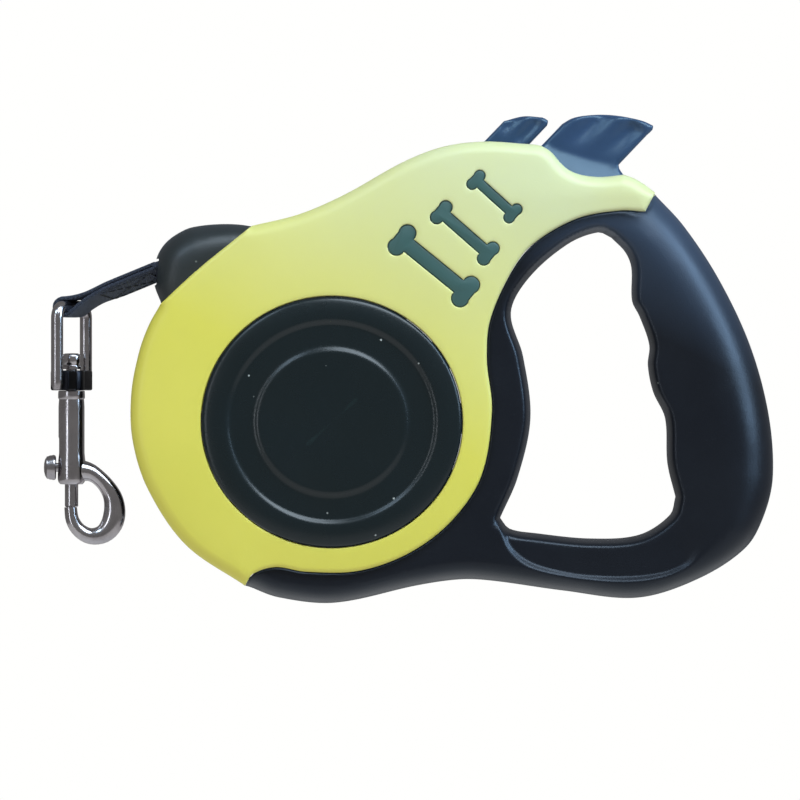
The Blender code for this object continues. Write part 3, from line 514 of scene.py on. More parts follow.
def two_sided(work):
    """Closes a surface with its mirror image and a wall between the two."""
    rows = 8
    mirrored = bmesh.ops.duplicate(work, geom=work.verts[:] + work.edges[:] + work.faces[:])["geom"]
    copied = {item for item in mirrored if isinstance(item, bmesh.types.BMVert)}
    edges = [edge for edge in border(work) if not copied & set(edge.verts)]
    rim = {(round(v.co.x, 4), round(v.co.z, 4)): v.co.y for edge in edges for v in edge.verts}
    for vert in copied:
        vert.co.y *= -1
    for row in range(1, rows + 1):
        share = 1 - 2 * row / rows

        def crossed(co):
            return Vector((co.x, rim[round(co.x, 4), round(co.z, 4)] * share, co.z))

        edges = pulled(work, edges, crossed)
    bmesh.ops.remove_doubles(work, verts=work.verts, dist=1e-3)


def swept(rings):
    """A bmesh skin over rings of points, with its two ends filled."""
    work = bmesh.new()
    loops = [[work.verts.new(point) for point in ring] for ring in rings]
    for first, second in zip(loops, loops[1:]):
        for i in range(len(first)):
            j = (i + 1) % len(first)
            work.faces.new((first[i], first[j], second[j], second[i]))
    work.faces.new(loops[0][::-1])
    work.faces.new(loops[-1])
    bmesh.ops.recalc_face_normals(work, faces=work.faces)
    return work


def section(centre, right, up, half_width, half_height, steps, power=2.0):
    """A ring: an ellipse, or with a higher power a rounded rectangle."""
    ring = []
    for i in range(steps):
        turn = 2 * math.pi * (i + 0.5) / steps
        c, s = math.cos(turn), math.sin(turn)
        x = math.copysign(abs(c) ** (2 / power), c) * half_width
        y = math.copysign(abs(s) ** (2 / power), s) * half_height
        ring.append(centre + right * x + up * y)
    return ring


def tube(path, size, up_hint, steps):
    """A rod along the path. size(share) gives its half sizes: square to the hint, and along it."""
    path = [Vector(point) for point in path]
    rings = []
    for i, point in enumerate(path):
        ahead = (path[min(i + 1, len(path) - 1)] - path[max(i - 1, 0)]).normalized()
        right = up_hint.cross(ahead).normalized()
        up = ahead.cross(right)
        half_width, half_height = size(i / (len(path) - 1))
        rings.append(section(point, right, up, half_width, half_height, steps))
    return swept(rings)


def turned(profile, centre=(0, 0, 0), axis="Z", steps=64, side=1, oval=1):
    """A profile of (radius, height) turned about an axis."""
    work = bmesh.new()
    rings = []
    for radius, height in profile:
        ring = []
        for i in range(steps):
            turn = 2 * math.pi * i / steps
            a, b = radius * math.cos(turn), radius * math.sin(turn) * oval
            place = (a, b, height) if axis == "Z" else (a, height * side, b)
            ring.append(work.verts.new(Vector(place) + Vector(centre)))
        rings.append(ring)
    closed = profile[0][0] > 0
    for first, second in zip(rings, rings[1:] + (rings[:1] if closed else [])):
        for i in range(steps):
            j = (i + 1) % steps
            work.faces.new((first[i], first[j], second[j], second[i]))
    bmesh.ops.remove_doubles(work, verts=work.verts, dist=1e-4)
    bmesh.ops.recalc_face_normals(work, faces=work.faces)
    return work


def rounded_box(centre, size, radius, turn=Matrix.Identity(3)):
    work = bmesh.new()
    bmesh.ops.create_cube(work, size=1)
    for vert in work.verts:
        vert.co = Vector(a * b for a, b in zip(vert.co, size))
    rounding = {"offset": radius, "segments": 5, "profile": 0.5, "affect": "EDGES", "clamp_overlap": True}
    bmesh.ops.bevel(work, geom=work.edges[:], **rounding)
    bmesh.ops.transform(work, matrix=Matrix.Translation(centre) @ turn.to_4x4(), verts=work.verts)
    return work


def with_copy_of(work, other):
    """Adds another bmesh to this one."""
    mesh = bpy.data.meshes.new("joined")
    other.to_mesh(mesh)
    work.from_mesh(mesh)
    bpy.data.meshes.remove(mesh)
    other.free()


def solid(name, work, sharp=38):
    """An object in metres from a bmesh in millimetres."""
    bmesh.ops.recalc_face_normals(work, faces=work.faces)
    bmesh.ops.transform(work, matrix=TO_FRAME, verts=work.verts)
    mesh = bpy.data.meshes.new(name)
    work.to_mesh(mesh)
    work.free()
    obj = bpy.data.objects.new(name, mesh)
    bpy.context.scene.collection.objects.link(obj)
    smooth(obj, sharp)
    return obj


def smooth(obj, sharp):
    obj.data.polygons.foreach_set("use_smooth", [True] * len(obj.data.polygons))
    obj.data.set_sharp_from_angle(angle=math.radians(sharp))


def applied(obj):
    """Makes the object's modifiers part of its mesh."""
    bpy.context.view_layer.update()
    mesh = bpy.data.meshes.new_from_object(obj.evaluated_get(bpy.context.evaluated_depsgraph_get()))
    obj.modifiers.clear()
    obj.data = mesh
    mesh.name = obj.name


def boolean(obj, other, operation, sharp=38):
    modifier = obj.modifiers.new(operation.lower(), "BOOLEAN")
    modifier.object = other
    modifier.operation = operation
    modifier.solver = "EXACT"
    applied(obj)
    bpy.data.objects.remove(other)
    smooth(obj, sharp)


def shell(name, work):
    """A wall of even thickness inside the surface."""
    bmesh.ops.remove_doubles(work, verts=work.verts, dist=1e-3)
    obj = solid(name, work)
    modifier = obj.modifiers.new("wall", "SOLIDIFY")
    modifier.thickness = SHELL_WALL * MM
    modifier.offset = -1
    applied(obj)
    smooth(obj, 38)
    return obj


def piece(obj, body, slot, material, *nodes):
    """Paints the object, lets it ride on its body and hides the CAD nodes that it stands for."""
    obj.data.materials.clear()
    obj.data.materials.append(material)
    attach(obj, body)
    if nodes:
        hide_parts(*nodes)
    return obj


# ---- materials ----


def new_material(name):
    material = bpy.data.materials.new(name)
    material.use_nodes = True
    return material, material.node_tree, material.node_tree.nodes["Principled BSDF"]


def node(tree, kind, inputs=None, **settings):
    made = tree.nodes.new(kind)
    for key, value in settings.items():
        setattr(made, key, value)
    for key, value in (inputs or {}).items():
        if isinstance(value, bpy.types.NodeSocket):
            tree.links.new(value, made.inputs[key])
        else:
            made.inputs[key].default_value = value
    return made


def place_in_frame(tree):
    return node(tree, "ShaderNodeTexCoord").outputs["Object"]


def noise(tree, where, scale, detail=3, roughness=0.5):
    values = {"Vector": where, "Scale": scale, "Detail": detail, "Roughness": roughness}
    return node(tree, "ShaderNodeTexNoise", values).outputs["Fac"]


def ranged(tree, value, low, high, new_low, new_high):
    values = {"Value": value, "From Min": low, "From Max": high, "To Min": new_low, "To Max": new_high}
    return node(tree, "ShaderNodeMapRange", values).outputs["Result"]


def mixed(tree, share, first, second, blend="MIX"):
    values = {"Fac": share, "Color1": first, "Color2": second}
    return node(tree, "ShaderNodeMixRGB", values, blend_type=blend).outputs["Color"]


def added(tree, first, second, operation="ADD"):
    return node(tree, "ShaderNodeMath", {0: first, 1: second}, operation=operation).outputs[0]


def bumped(tree, shader, height, strength, distance_mm):
    values = {"Height": height, "Strength": strength, "Distance": distance_mm * MM}
    bump = node(tree, "ShaderNodeBump", values)
    tree.links.new(bump.outputs["Normal"], shader.inputs["Normal"])


def rgb(red, green, blue):
    return (red, green, blue, 1)


def settle(shader, **values):
    """Sets the shader's own values. Each name is the input's, with _ for a space."""
    for name, value in values.items():
        shader.inputs[name.replace("_", " ")].default_value = value


def moulded(
    name, colour, shade, worn, roughness, grain=0.35, specks=0.0, sheen=0.0, subsurface=0.0, gloss=0.5,
    painted_top_light=None, painted_light_span=PAINTED_LIGHT_SPAN, glint=None,
):
    """Moulded plastic: mottled colour, paler rubbed edges, eroded grain, hairline scratches and dust.

    A paler top colour, when given, is painted in towards the top rear over the given span: a painted
    highlight for the light that falls there. glint tints its reflections.
    """
    material, tree, shader = new_material(name)
    where = place_in_frame(tree)
    mottle = ranged(tree, noise(tree, where, 38, 4, 0.55), 0.3, 0.7, 0, 1)
    tint = mixed(tree, mottle, colour, shade)
    pointed = node(tree, "ShaderNodeNewGeometry").outputs["Pointiness"]
    rubbed = ranged(tree, pointed, 0.53, 0.62, 0, 0.35)
    broken = added(tree, rubbed, ranged(tree, noise(tree, where, 420, 2), 0.4, 0.65, 0.2, 1), "MULTIPLY")
    tint = mixed(tree, broken, tint, worn)
    drawn_out = {"Vector": where, "Rotation": (0.3, 0.5, 0.2), "Scale": (1, 1, 14)}
    stretched = node(tree, "ShaderNodeMapping", drawn_out)
    hairline = noise(tree, stretched.outputs["Vector"], 260, 2, 0.6)
    # Painted highlight: a paler colour painted in over the top rear, in uneven patches, for the light that
    # falls there
    if painted_top_light:
        height = node(tree, "ShaderNodeVectorMath", {0: where, 1: PAINTED_LIGHT_DIRECTION}, operation="DOT_PRODUCT")
        base = REEL.dot(Vector(PAINTED_LIGHT_DIRECTION))
        span = [base + distance_mm * MM for distance_mm in painted_light_span]
        painted_light_share = ranged(tree, height.outputs["Value"], *span, 0, 1)
        painted_light_patches = ranged(tree, noise(tree, where, 22, 3, 0.5), 0.3, 0.7, 0.82, 1)
        tint = mixed(tree, added(tree, painted_light_share, painted_light_patches, "MULTIPLY"), tint, painted_top_light)
    if specks:
        cells = node(tree, "ShaderNodeTexVoronoi", {"Vector": where, "Scale": 210})
        dust = ranged(tree, cells.outputs["Distance"], 0.035, 0.075, specks, 0)
        rare = ranged(tree, cells.outputs["Color"], 0.72, 0.74, 0, 1)
        tint = mixed(tree, added(tree, dust, rare, "MULTIPLY"), tint, rgb(0.5, 0.53, 0.5))
    tree.links.new(tint, shader.inputs["Base Color"])
    rough = ranged(tree, noise(tree, where, 75, 5, 0.6), 0.3, 0.7, roughness * 0.88, roughness * 1.14)
    scratched = added(tree, rough, ranged(tree, hairline, 0.68, 0.8, 0, 0.08))
    tree.links.new(scratched, shader.inputs["Roughness"])
    settle(shader, Specular_IOR_Level=gloss)
    if glint:
        settle(shader, Specular_Tint=glint)
    relief = added(tree, noise(tree, where, 2600, 3), ranged(tree, hairline, 0.66, 0.78, 0, -0.6))
    bumped(tree, shader, relief, grain, 0.05)
    if sheen:
        settle(shader, Sheen_Weight=sheen, Sheen_Roughness=0.4, Sheen_Tint=rgb(0.55, 0.7, 1))
    if subsurface:
        depths = (0.002, 0.002, 0.0008)
        settle(shader, Subsurface_Weight=subsurface, Subsurface_Radius=depths, Subsurface_Scale=1)
    return material


def waves(tree, where, direction, scale, distortion, detail_scale):
    values = {"Vector": where, "Scale": scale, "Distortion": distortion, "Detail Scale": detail_scale}
    return node(tree, "ShaderNodeTexWave", values, bands_direction=direction).outputs["Fac"]


def webbing(name):
    """Tightly woven tape: ribs across it, a herringbone along it and fibre fuzz."""
    material, tree, shader = new_material(name)
    where = node(tree, "ShaderNodeUVMap", uv_map="weave").outputs["UV"]
    ribs = waves(tree, where, "X", 0.62, 0.4, 2)
    picks = waves(tree, where, "DIAGONAL", 0.9, 0.5, 3)
    fibre = noise(tree, where, 9, 4, 0.7)
    weave = added(tree, ribs, picks, "MULTIPLY")
    tint = mixed(tree, weave, rgb(0.006, 0.009, 0.02), rgb(0.022, 0.03, 0.052))
    tint = mixed(tree, ranged(tree, fibre, 0.55, 0.8, 0, 0.5), tint, rgb(0.05, 0.062, 0.09))
    tree.links.new(tint, shader.inputs["Base Color"])
    tree.links.new(ranged(tree, fibre, 0.3, 0.7, 0.62, 0.85), shader.inputs["Roughness"])
    settle(shader, Sheen_Weight=0.35, Sheen_Roughness=0.5, Sheen_Tint=rgb(0.5, 0.6, 0.85))
    bumped(tree, shader, added(tree, weave, fibre), 0.8, 0.22)
    return material


def metal(name, bright, dull, roughness, streak=(1, 1, 1), scale=120, relief=0.12):
    """Plated or brushed metal with smudges and fine marks drawn out by streak."""
    material, tree, shader = new_material(name)
    where = place_in_frame(tree)
    drawn = node(tree, "ShaderNodeMapping", {"Vector": where, "Scale": streak}).outputs["Vector"]
    smudge = ranged(tree, noise(tree, where, scale, 4, 0.6), 0.35, 0.7, 0, 1)
    marks = noise(tree, drawn, scale * 12, 3, 0.6)
    tree.links.new(mixed(tree, smudge, bright, dull), shader.inputs["Base Color"])
    settle(shader, Metallic=1)
    rough = added(tree, ranged(tree, smudge, 0, 1, roughness * 0.7, roughness * 1.4),
                  ranged(tree, marks, 0.55, 0.8, 0, 0.08))
    tree.links.new(rough, shader.inputs["Roughness"])
    bumped(tree, shader, marks, relief, 0.03)
    return material


# Its paler top colour is a painted highlight: the bluish veil of light over the casing's top rear
YELLOW = moulded(
    "yellow_plastic", rgb(0.73, 0.66, 0.105), shade=rgb(0.69, 0.63, 0.09), worn=rgb(0.82, 0.82, 0.3),
    roughness=0.42, grain=0.3, subsurface=0.12, painted_top_light=rgb(0.66, 0.68, 0.38),
)
# Its paler top colour is a painted highlight on the grip's shoulder and arch
GRIP = moulded(
    "satin_black_grip", rgb(0.006, 0.007, 0.010), shade=rgb(0.004, 0.005, 0.008),
    worn=rgb(0.016, 0.022, 0.034), roughness=0.35, grain=0.4, specks=0.3, sheen=0.03, gloss=0.42,
    painted_top_light=rgb(0.05, 0.075, 0.12), painted_light_span=GRIP_PAINTED_LIGHT_SPAN, glint=rgb(0.78, 0.87, 1),
)
DOME = moulded(
    "satin_black_mouthpiece", rgb(0.012, 0.018, 0.02), shade=rgb(0.009, 0.014, 0.015),
    worn=rgb(0.03, 0.045, 0.05), roughness=0.46, grain=0.4, specks=0.3, sheen=0.05, gloss=0.75,
)
CAP = moulded(
    "black_cap", rgb(0.006, 0.012, 0.014), shade=rgb(0.004, 0.009, 0.010), worn=rgb(0.014, 0.03, 0.03),
    roughness=0.27, grain=0.22, specks=0.9, gloss=0.45,
)
TEAL = moulded(
    "teal_insert", rgb(0.045, 0.11, 0.10), shade=rgb(0.038, 0.095, 0.088), worn=rgb(0.1, 0.18, 0.18),
    roughness=0.45, grain=0.3,
)
BUTTON = moulded(
    "satin_blue_black_button", rgb(0.03, 0.06, 0.125), shade=rgb(0.022, 0.048, 0.1),
    worn=rgb(0.05, 0.11, 0.16), roughness=0.32, grain=0.3, sheen=0.2, glint=rgb(0.72, 0.95, 1),
)
REEL_WHITE = moulded(
    "reel_plastic", rgb(0.72, 0.72, 0.68), shade=rgb(0.66, 0.66, 0.63), worn=rgb(0.8, 0.8, 0.78),
    roughness=0.45,
)
THREAD = moulded(
    "stitching_thread", rgb(0.03, 0.035, 0.05), shade=rgb(0.015, 0.02, 0.03), worn=rgb(0.06, 0.07, 0.09),
    roughness=0.7, grain=0.6,
)
WEBBING_FLAT = moulded(
    "wound_tape", rgb(0.012, 0.016, 0.028), shade=rgb(0.008, 0.01, 0.02), worn=rgb(0.03, 0.035, 0.05),
    roughness=0.75, grain=0.8,
)
WEBBING = webbing("woven_tape")
NICKEL = metal("worn_nickel", rgb(0.58, 0.55, 0.56), rgb(0.36, 0.33, 0.34), 0.2, relief=0.05)
COLLAR = metal("dark_collar", rgb(0.022, 0.022, 0.026), rgb(0.012, 0.012, 0.016), 0.4)
SCREW_STEEL = metal("zinc_screw", rgb(0.55, 0.56, 0.58), rgb(0.36, 0.37, 0.4), 0.28, (6, 1, 6), 300, 0.2)
SPRING_STEEL = metal("spring_steel", rgb(0.42, 0.43, 0.46), rgb(0.3, 0.3, 0.34), 0.3, (1, 1, 8), 200, 0.2)


# ---- casing and grip ----


def case_height(points, outline, lips):
    crown = CASE_CROWN * np.clip(1 - distance(points, outline) / CASE_CROWN_REACH, 0, 1) ** 2
    free = [shrunk(joined(runs), CASE_INSET) for runs in ([CASE_TOP, CASE_REAR], [CASE_FRONT])]
    seams = [through(NOZZLE_SEAM), through(SHOULDER), through(SEAM)]
    rolls = [roll(distance(points, line, closed=False), CASE_ROLL, CASE_ROLL) for line in free]
    seam_roll = CASE_SEAM_ROLL
    rolls += [roll(distance(points, line, closed=False), seam_roll, seam_roll) for line in seams]
    height = CASE_HALF - crown - np.max(rolls, axis=0)
    for lip in lips:
        height -= roll(distance(points, lip), LIP_RADIUS, LIP_RADIUS)
    return height


def well_rim(place):
    return circle(place, WELL_RADIUS, WELL_STEPS)


def wells(work, places):
    """Counterbores for screws: a straight bore from the surface to a flat seat."""
    for place in places:
        edges = walled(work, border(work, well_rim(place)), WELL_LEVELS)
        centre = Vector((place[0], 0, place[1]))
        share = WELL_BORE / WELL_RADIUS

        def narrowed(co):
            return Vector((centre.x + (co.x - centre.x) * share, co.y, centre.z + (co.z - centre.z) * share))

        pulled(work, edges, narrowed)


def case_half(side, name):
    """A shell of the casing, open at the top where the brake fin goes in. Screws go in from the right."""
    outline = shrunk(case_outline(), CASE_INSET)
    cap_hole = circle((0, 0), CAP_RADIUS + CAP_GAP, 160, CAP_OVAL)
    bones = [shrunk(bone_loop(*bone), -BONE_GAP) for bone in BONES]
    screws = CASE_SCREWS if side > 0 else []
    lips = [cap_hole] + bones + [well_rim(place) for place in screws]
    edges = [(outline, edge_rows(CASE_ROLL) + [4.6, 6.4])] + [(loop, LIP_ROWS) for loop in lips]
    work = height_field(edges, lambda points: case_height(points, outline, lips), CASE_GRID, side)
    wells(work, screws)
    front, rear, low = BRAKE_OPENING

    def in_opening(edge):
        return all(front < vert.co.x < rear and vert.co.z > low for vert in edge.verts)

    walled(work, [edge for edge in border(work, outline) if not in_opening(edge)], CASE_WALL)
    obj = shell(name, work)
    boolean(obj, press_block("lock_slot", LOCK_SLOT, FIN_HALF + FIN_GAP), "DIFFERENCE")
    return obj


def press_block(name, block, half):
    """A block given by its span along and across the buttons' line of travel."""
    low, high, left, right = block
    corners = [on_press_line(*c) for c in ((low, left), (high, left), (high, right), (low, right))]
    work = swept([[Vector((x, y, z)) for x, z in corners] for y in (-half, half)])
    return solid(name, work)


def above_and_behind(points, rise, reach):
    """From 0 at the front and below to 1 at the rear and above."""
    return step(points[:, 1], *rise) * step(points[:, 0], *reach)


def grip_height(points, silhouette, seam, hole, field):
    tight, wide = GRIP_ROLL
    radius = tight + (wide - tight) * above_and_behind(points, GRIP_ROLL_ABOVE, GRIP_ROLL_BEHIND)
    back = GRIP_HALF - roll(distance(points, silhouette, closed=False), radius, GRIP_HALF - 0.5)
    front = GRIP_HALF - roll(distance(points, hole), HAND_HOLE_ROLL, GRIP_HALF - 1.5)
    height = softer_min(back, front)
    depth = distance(points, field) * np.where(inside(points, field), 1, -1)
    soft = above_and_behind(points, STEP_SOFT_ABOVE, STEP_SOFT_BEHIND)
    softness = STEP_CRISP + (STEP_SOFT - STEP_CRISP) * soft
    height = height - GRIP_FIELD_DEPTH * step(depth / softness, -0.1, 1)
    return height - roll(distance(points, seam, closed=False), GRIP_SEAM_ROLL, GRIP_SEAM_ROLL)


def grip_half(side, name):
    outline = shrunk(grip_outline(), GRIP_INSET)
    hole = joined(HAND_HOLE)
    field = through(GRIP_FIELD, 0.9, closed=True)
    silhouette = shrunk(through(GRIP_BACK), GRIP_INSET)
    seam = through(SEAM[::-1] + SHOULDER[:1])
    screws = GRIP_SCREWS if side > 0 else []
    edges = [(outline, edge_rows(GRIP_ROLL[0], 8)), (hole, edge_rows(HAND_HOLE_ROLL, 8))]
    edges += [(well_rim(place), [0.3, 0.8]) for place in screws]
    crease = np.concatenate([shrunk(field, amount) for amount in STEP_ROWS])

    def height(points):
        return grip_height(points, silhouette, seam, hole, field)

    work = height_field(edges, height, GRIP_GRID, side, crease)
    wells(work, screws)
    walled(work, border(work, outline) + border(work, hole), GRIP_WALL)
    return shell(name, work)


def nozzle():
    """The black mouthpiece: a dome with a slot that the tape leaves by."""
    dome, seam = through(NOZZLE_DOME, 0.8), through(NOZZLE_SEAM, 0.8)
    outline = shrunk(np.concatenate([dome, seam]), NOZZLE_INSET)

    def height(points):
        drop = roll(distance(points, dome, closed=False), NOZZLE_ROLL, NOZZLE_HALF - 0.4)
        crest = CREST_HALF + CREST_SLOPE * distance(points, seam, closed=False)
        return softer_min(NOZZLE_HALF - drop, crest, CREST_BLEND)

    work = height_field([(outline, edge_rows(7, 8))], height, NOZZLE_GRID)
    two_sided(work)
    obj = solid("nozzle_dome", work)
    turn = Matrix((TAPE_DOWN, SIDEWAYS, TAPE_UP)).transposed()
    slot = rounded_box(MOUTH_CENTRE, MOUTH_SIZE, MOUTH_RADIUS, turn)
    boolean(obj, solid("mouth", slot), "DIFFERENCE", 30)
    return piece(obj, "housing", "grip_plastic", DOME, "nozzle")


def side_cap(side, name, node_name):
    rows = through([(r, y) for r, y in CAP_PROFILE[:-2]], 0.5)
    profile = [tuple(row) for row in rows] + CAP_PROFILE[-2:]
    work = turned(profile, axis="Y", steps=160, side=side, oval=CAP_OVAL)
    return piece(solid(name, work, 50), "housing", "cap_plastic", CAP, node_name)


def bone_insert(side, name, node_name):
    """The dark plate behind the side wall, with three bones that fill its windows."""
    plate = np.array([on_press_line(*corner) for corner in INSERT_PLATE])
    blocks = [(plate, INSERT_SPAN, INSERT_EDGE)]
    blocks += [(bone_loop(*bone), BONE_SPAN, BONE_EDGE) for bone in BONES]
    work = bmesh.new()
    for loop, (low, high), soft in blocks:
        levels = [(0, low), (0, high - soft), (soft * 0.3, high - soft * 0.3), (soft, high)]
        rings = []
        for amount, level in levels:
            rings.append([Vector((x, level * side, z)) for x, z in shrunk(loop, amount)])
        with_copy_of(work, swept(rings))
    return piece(solid(name, work, 50), "housing", "insert_plastic", TEAL, node_name)


# ---- buttons ----


def fluted(points, pitch, span):
    """Grooves along the line of travel, faded out towards the ends of the span along it."""
    low, high = span
    fade_in, fade_out = FLUTE_FADE
    c, s = math.cos(PRESS_ANGLE), math.sin(PRESS_ANGLE)
    along = points[:, 0] * c + points[:, 1] * s
    across = points[:, 1] * c - points[:, 0] * s
    wave = 0.5 - 0.5 * np.cos(2 * math.pi * across / pitch)
    shown = step(along, low, low + fade_in) * (1 - step(along, high - fade_out, high))
    return FLUTE_DEPTH * pitch * wave * shown


def button(name, body, outline_runs, height, node_name):
    runs = [[on_press_line(*point) for point in run] for run in outline_runs]
    outline = joined(runs, 0.7)
    work = height_field([(outline, FIN_ROWS)], lambda points: height(points, outline), FIN_GRID)
    two_sided(work)
    return piece(solid(name, work, 45), body, "grip_plastic", BUTTON, node_name)


def brake_height(points, outline):
    """A fluted fin that widens into a flare at its root."""
    flare = through(BRAKE_FLARE, 1)
    order = np.argsort(flare[:, 0])
    level = np.interp(points[:, 0], flare[order, 0], flare[order, 1])
    ramp = (level - points[:, 1]) / BRAKE_FLARE_REACH
    below = 0.6 * np.clip(ramp, 0, 1) + 0.4 * step(ramp, -0.15, 1.15)
    height = FIN_HALF + (BRAKE_FLARE_HALF - FIN_HALF) * below
    height -= fluted(points, BRAKE_FLUTE_PITCH, BRAKE_FLUTE_SPAN) * (1 - step(ramp, -1.8, 0))
    return height - roll(distance(points, outline), BRAKE_ROLL, BRAKE_ROLL) * (1 - below * 0.6)


def lock_height(points, outline):
    height = FIN_HALF - fluted(points, LOCK_FLUTE_PITCH, LOCK_FLUTE_SPAN)
    return height - roll(distance(points, outline), LOCK_ROLL, LOCK_ROLL)


# ---- tape ----


def strap_ring(centre, across, up, half_width, half_thickness):
    return section(centre, across, up, half_width, half_thickness, STRAP_STEPS, STRAP_SQUARENESS)


def strap_lift(across):
    """The direction off the strap's upper face."""
    return TAPE_DOWN.cross(across).normalized() * -1


def weave_map(obj):
    """UVs in millimetres, along the tape and across it."""
    layer = obj.data.uv_layers.new(name="weave")
    inverse = TO_FRAME.inverted()
    for loop in obj.data.loops:
        place = inverse @ obj.data.vertices[loop.vertex_index].co
        layer.data[loop.index].uv = (place.dot(TAPE_DOWN), place.dot(EYE_ACROSS))


def strap_across(along):
    """The strap's direction across, which turns from the bar's to its own over TWIST_SPAN."""
    near, far = TWIST_SPAN
    share = min(1, max(0, -(along + near) / (far - near)))
    return EYE_ACROSS.lerp(STRAP_ACROSS, share).normalized()


def tape_end():
    """The doubled end of the tape, folded round the eye's bar, and turned a little where it leaves it."""
    layer = [(along, LAYER_OFFSET + rise) for along, rise in LAYER_RISE]
    fold = [math.radians(angle) for angle in range(120, -121, -20)]
    flat = layer + [(LOOP_RADIUS * math.cos(angle), LOOP_RADIUS * math.sin(angle)) for angle in fold]
    line = through(flat + [(along, -up) for along, up in layer[::-1]], 0.6)
    rings = []
    for i, (along, up) in enumerate(line):
        before, after = line[max(i - 1, 0)], line[min(i + 1, len(line) - 1)]
        ahead = (after - before) / np.linalg.norm(after - before)
        across = strap_across(along)
        lift = strap_lift(across)
        centre = EYE_BAR + TAPE_DOWN * along + lift * up
        face = TAPE_DOWN * -ahead[1] + lift * ahead[0]
        width = TAPE_HALF * (1 + SELVEDGE_RIPPLE * math.sin(i * 2.4))
        rings.append(strap_ring(centre, across, face, width, LAYER_THICKNESS / 2))
    obj = solid("tape_end_strap", swept(rings), 60)
    weave_map(obj)
    return piece(obj, "leash_end", "webbing", WEBBING, "tape_end")


def stitch_row(work, start, end, face):
    """A row of thread stitches on one face of the strap, from start to end in (along, across)."""
    start, end = Vector(start), Vector(end)
    count = max(1, round((end - start).length / STITCH_PITCH))
    step_along = (end - start) / count
    lift = (LAYER_OFFSET + LAYER_THICKNESS / 2) * face
    for i in range(count):
        near, far = start + step_along * (i + 0.14), start + step_along * (i + 0.86)
        path = []
        for k in range(7):
            t = k / 6
            along, across = near.lerp(far, t)
            rise = lift + face * (0.16 * math.sin(math.pi * t) - 0.08)
            sideways = strap_across(along)
            up = strap_lift(sideways)
            path.append(EYE_BAR + TAPE_DOWN * along + sideways * across + up * rise)
        with_copy_of(work, tube(path, lambda share: THREAD_SIZE, TAPE_UP, 8))


def tape_stitching():
    """A boxed cross of stitches that holds the fold."""
    work = bmesh.new()
    low, high, side = STITCH_BOX
    corners = [(low, -side), (high, -side), (high, side), (low, side)]
    for face in (-1, 1):
        for start, end in zip(corners, corners[1:] + corners[:1]):
            stitch_row(work, start, end, face)
        stitch_row(work, corners[0], corners[2], face)
        stitch_row(work, corners[1], corners[3], face)
    obj = solid("tape_stitching", work, 60)
    weave_map(obj)
    return piece(obj, "leash_end", "webbing", THREAD)


def tape_neck():
    """The tape inside the mouth. It twists to meet the stitched end."""
    end = EYE_BAR - TAPE_DOWN * (TAPE_LENGTH - 0.6)
    lift = strap_lift(STRAP_ACROSS)
    bend_across = SIDEWAYS.lerp(STRAP_ACROSS, 0.8)
    thin, medium, thick = NECK_HALVES
    knots = [
        (NECK_START, SIDEWAYS, TAPE_UP, thin),
        (NECK_BEND, bend_across, lift, medium),
        (end, STRAP_ACROSS, lift, thick),
    ]
    rings = []
    for (a, across_a, up_a, half_a), (b, across_b, up_b, half_b) in zip(knots, knots[1:]):
        for k in range(12):
            t = k / 12
            across = across_a.lerp(across_b, t).normalized()
            up = up_a.lerp(up_b, t).normalized()
            rings.append(strap_ring(a.lerp(b, t), across, up, TAPE_HALF, half_a + (half_b - half_a) * t))
    rings.append(strap_ring(end, STRAP_ACROSS, lift, TAPE_HALF, thick))
    obj = solid("tape_neck_strap", swept(rings), 60)
    weave_map(obj)
    obj.data.materials.append(WEBBING)
    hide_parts("tape_neck")
    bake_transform(obj)
    return obj


# ---- bolt snap ----


def swivel_eye():
    """The stirrup that the tape is folded round, bent from one wire."""
    legs = []
    for side in (-1, 1):
        top = EYE_BAR + EYE_ACROSS * EYE_HALF_WIDTH * side
        heights = np.linspace(COLLAR_PLACE.z - EYE_FOOT_DROP, top.z - EYE_CORNER, 14)
        leg = [Vector((top.x, top.y, z)) for z in heights]
        inward = EYE_ACROSS * -side
        for turn in range(1, 9):
            angle = math.radians(90 * turn / 8)
            drop = EYE_CORNER * (1 - math.sin(angle))
            shift = EYE_CORNER * (1 - math.cos(angle))
            leg.append(top - Vector((0, 0, drop)) + inward * shift)
        legs.append(leg)
    near, far = legs
    bar = [near[-1].lerp(far[-1], t) for t in (0.25, 0.5, 0.75)]

    def size(share):
        foot = 1 - 0.35 * max(0, 1 - min(share, 1 - share) / 0.012) ** 2
        return EYE_WIRE * foot, EYE_WIRE * foot

    work = tube(near + bar + far[::-1], size, EYE_ACROSS.cross(UP).normalized(), 24)
    return piece(solid("eye_stirrup", work, 50), "eye", "nickel", NICKEL, "swivel_eye")


def eye_collar():
    """The dark cross piece at the stirrup's foot. The rivet turns in it."""
    level = EYE_ACROSS.normalized()
    turn = Matrix((level, UP.cross(level), UP)).transposed()
    work = rounded_box(COLLAR_PLACE, COLLAR_SIZE, COLLAR_RADIUS, turn)
    with_copy_of(work, turned(COLLAR_HUB, COLLAR_PLACE, steps=40))
    return piece(solid("eye_collar", work, 40), "eye", "nickel", COLLAR)


def swivel_rivet():
    work = turned(RIVET, (SNAP_X, 0, 0), steps=40)
    return piece(solid("rivet", work, 40), "snap", "nickel", NICKEL, "swivel_rivet")


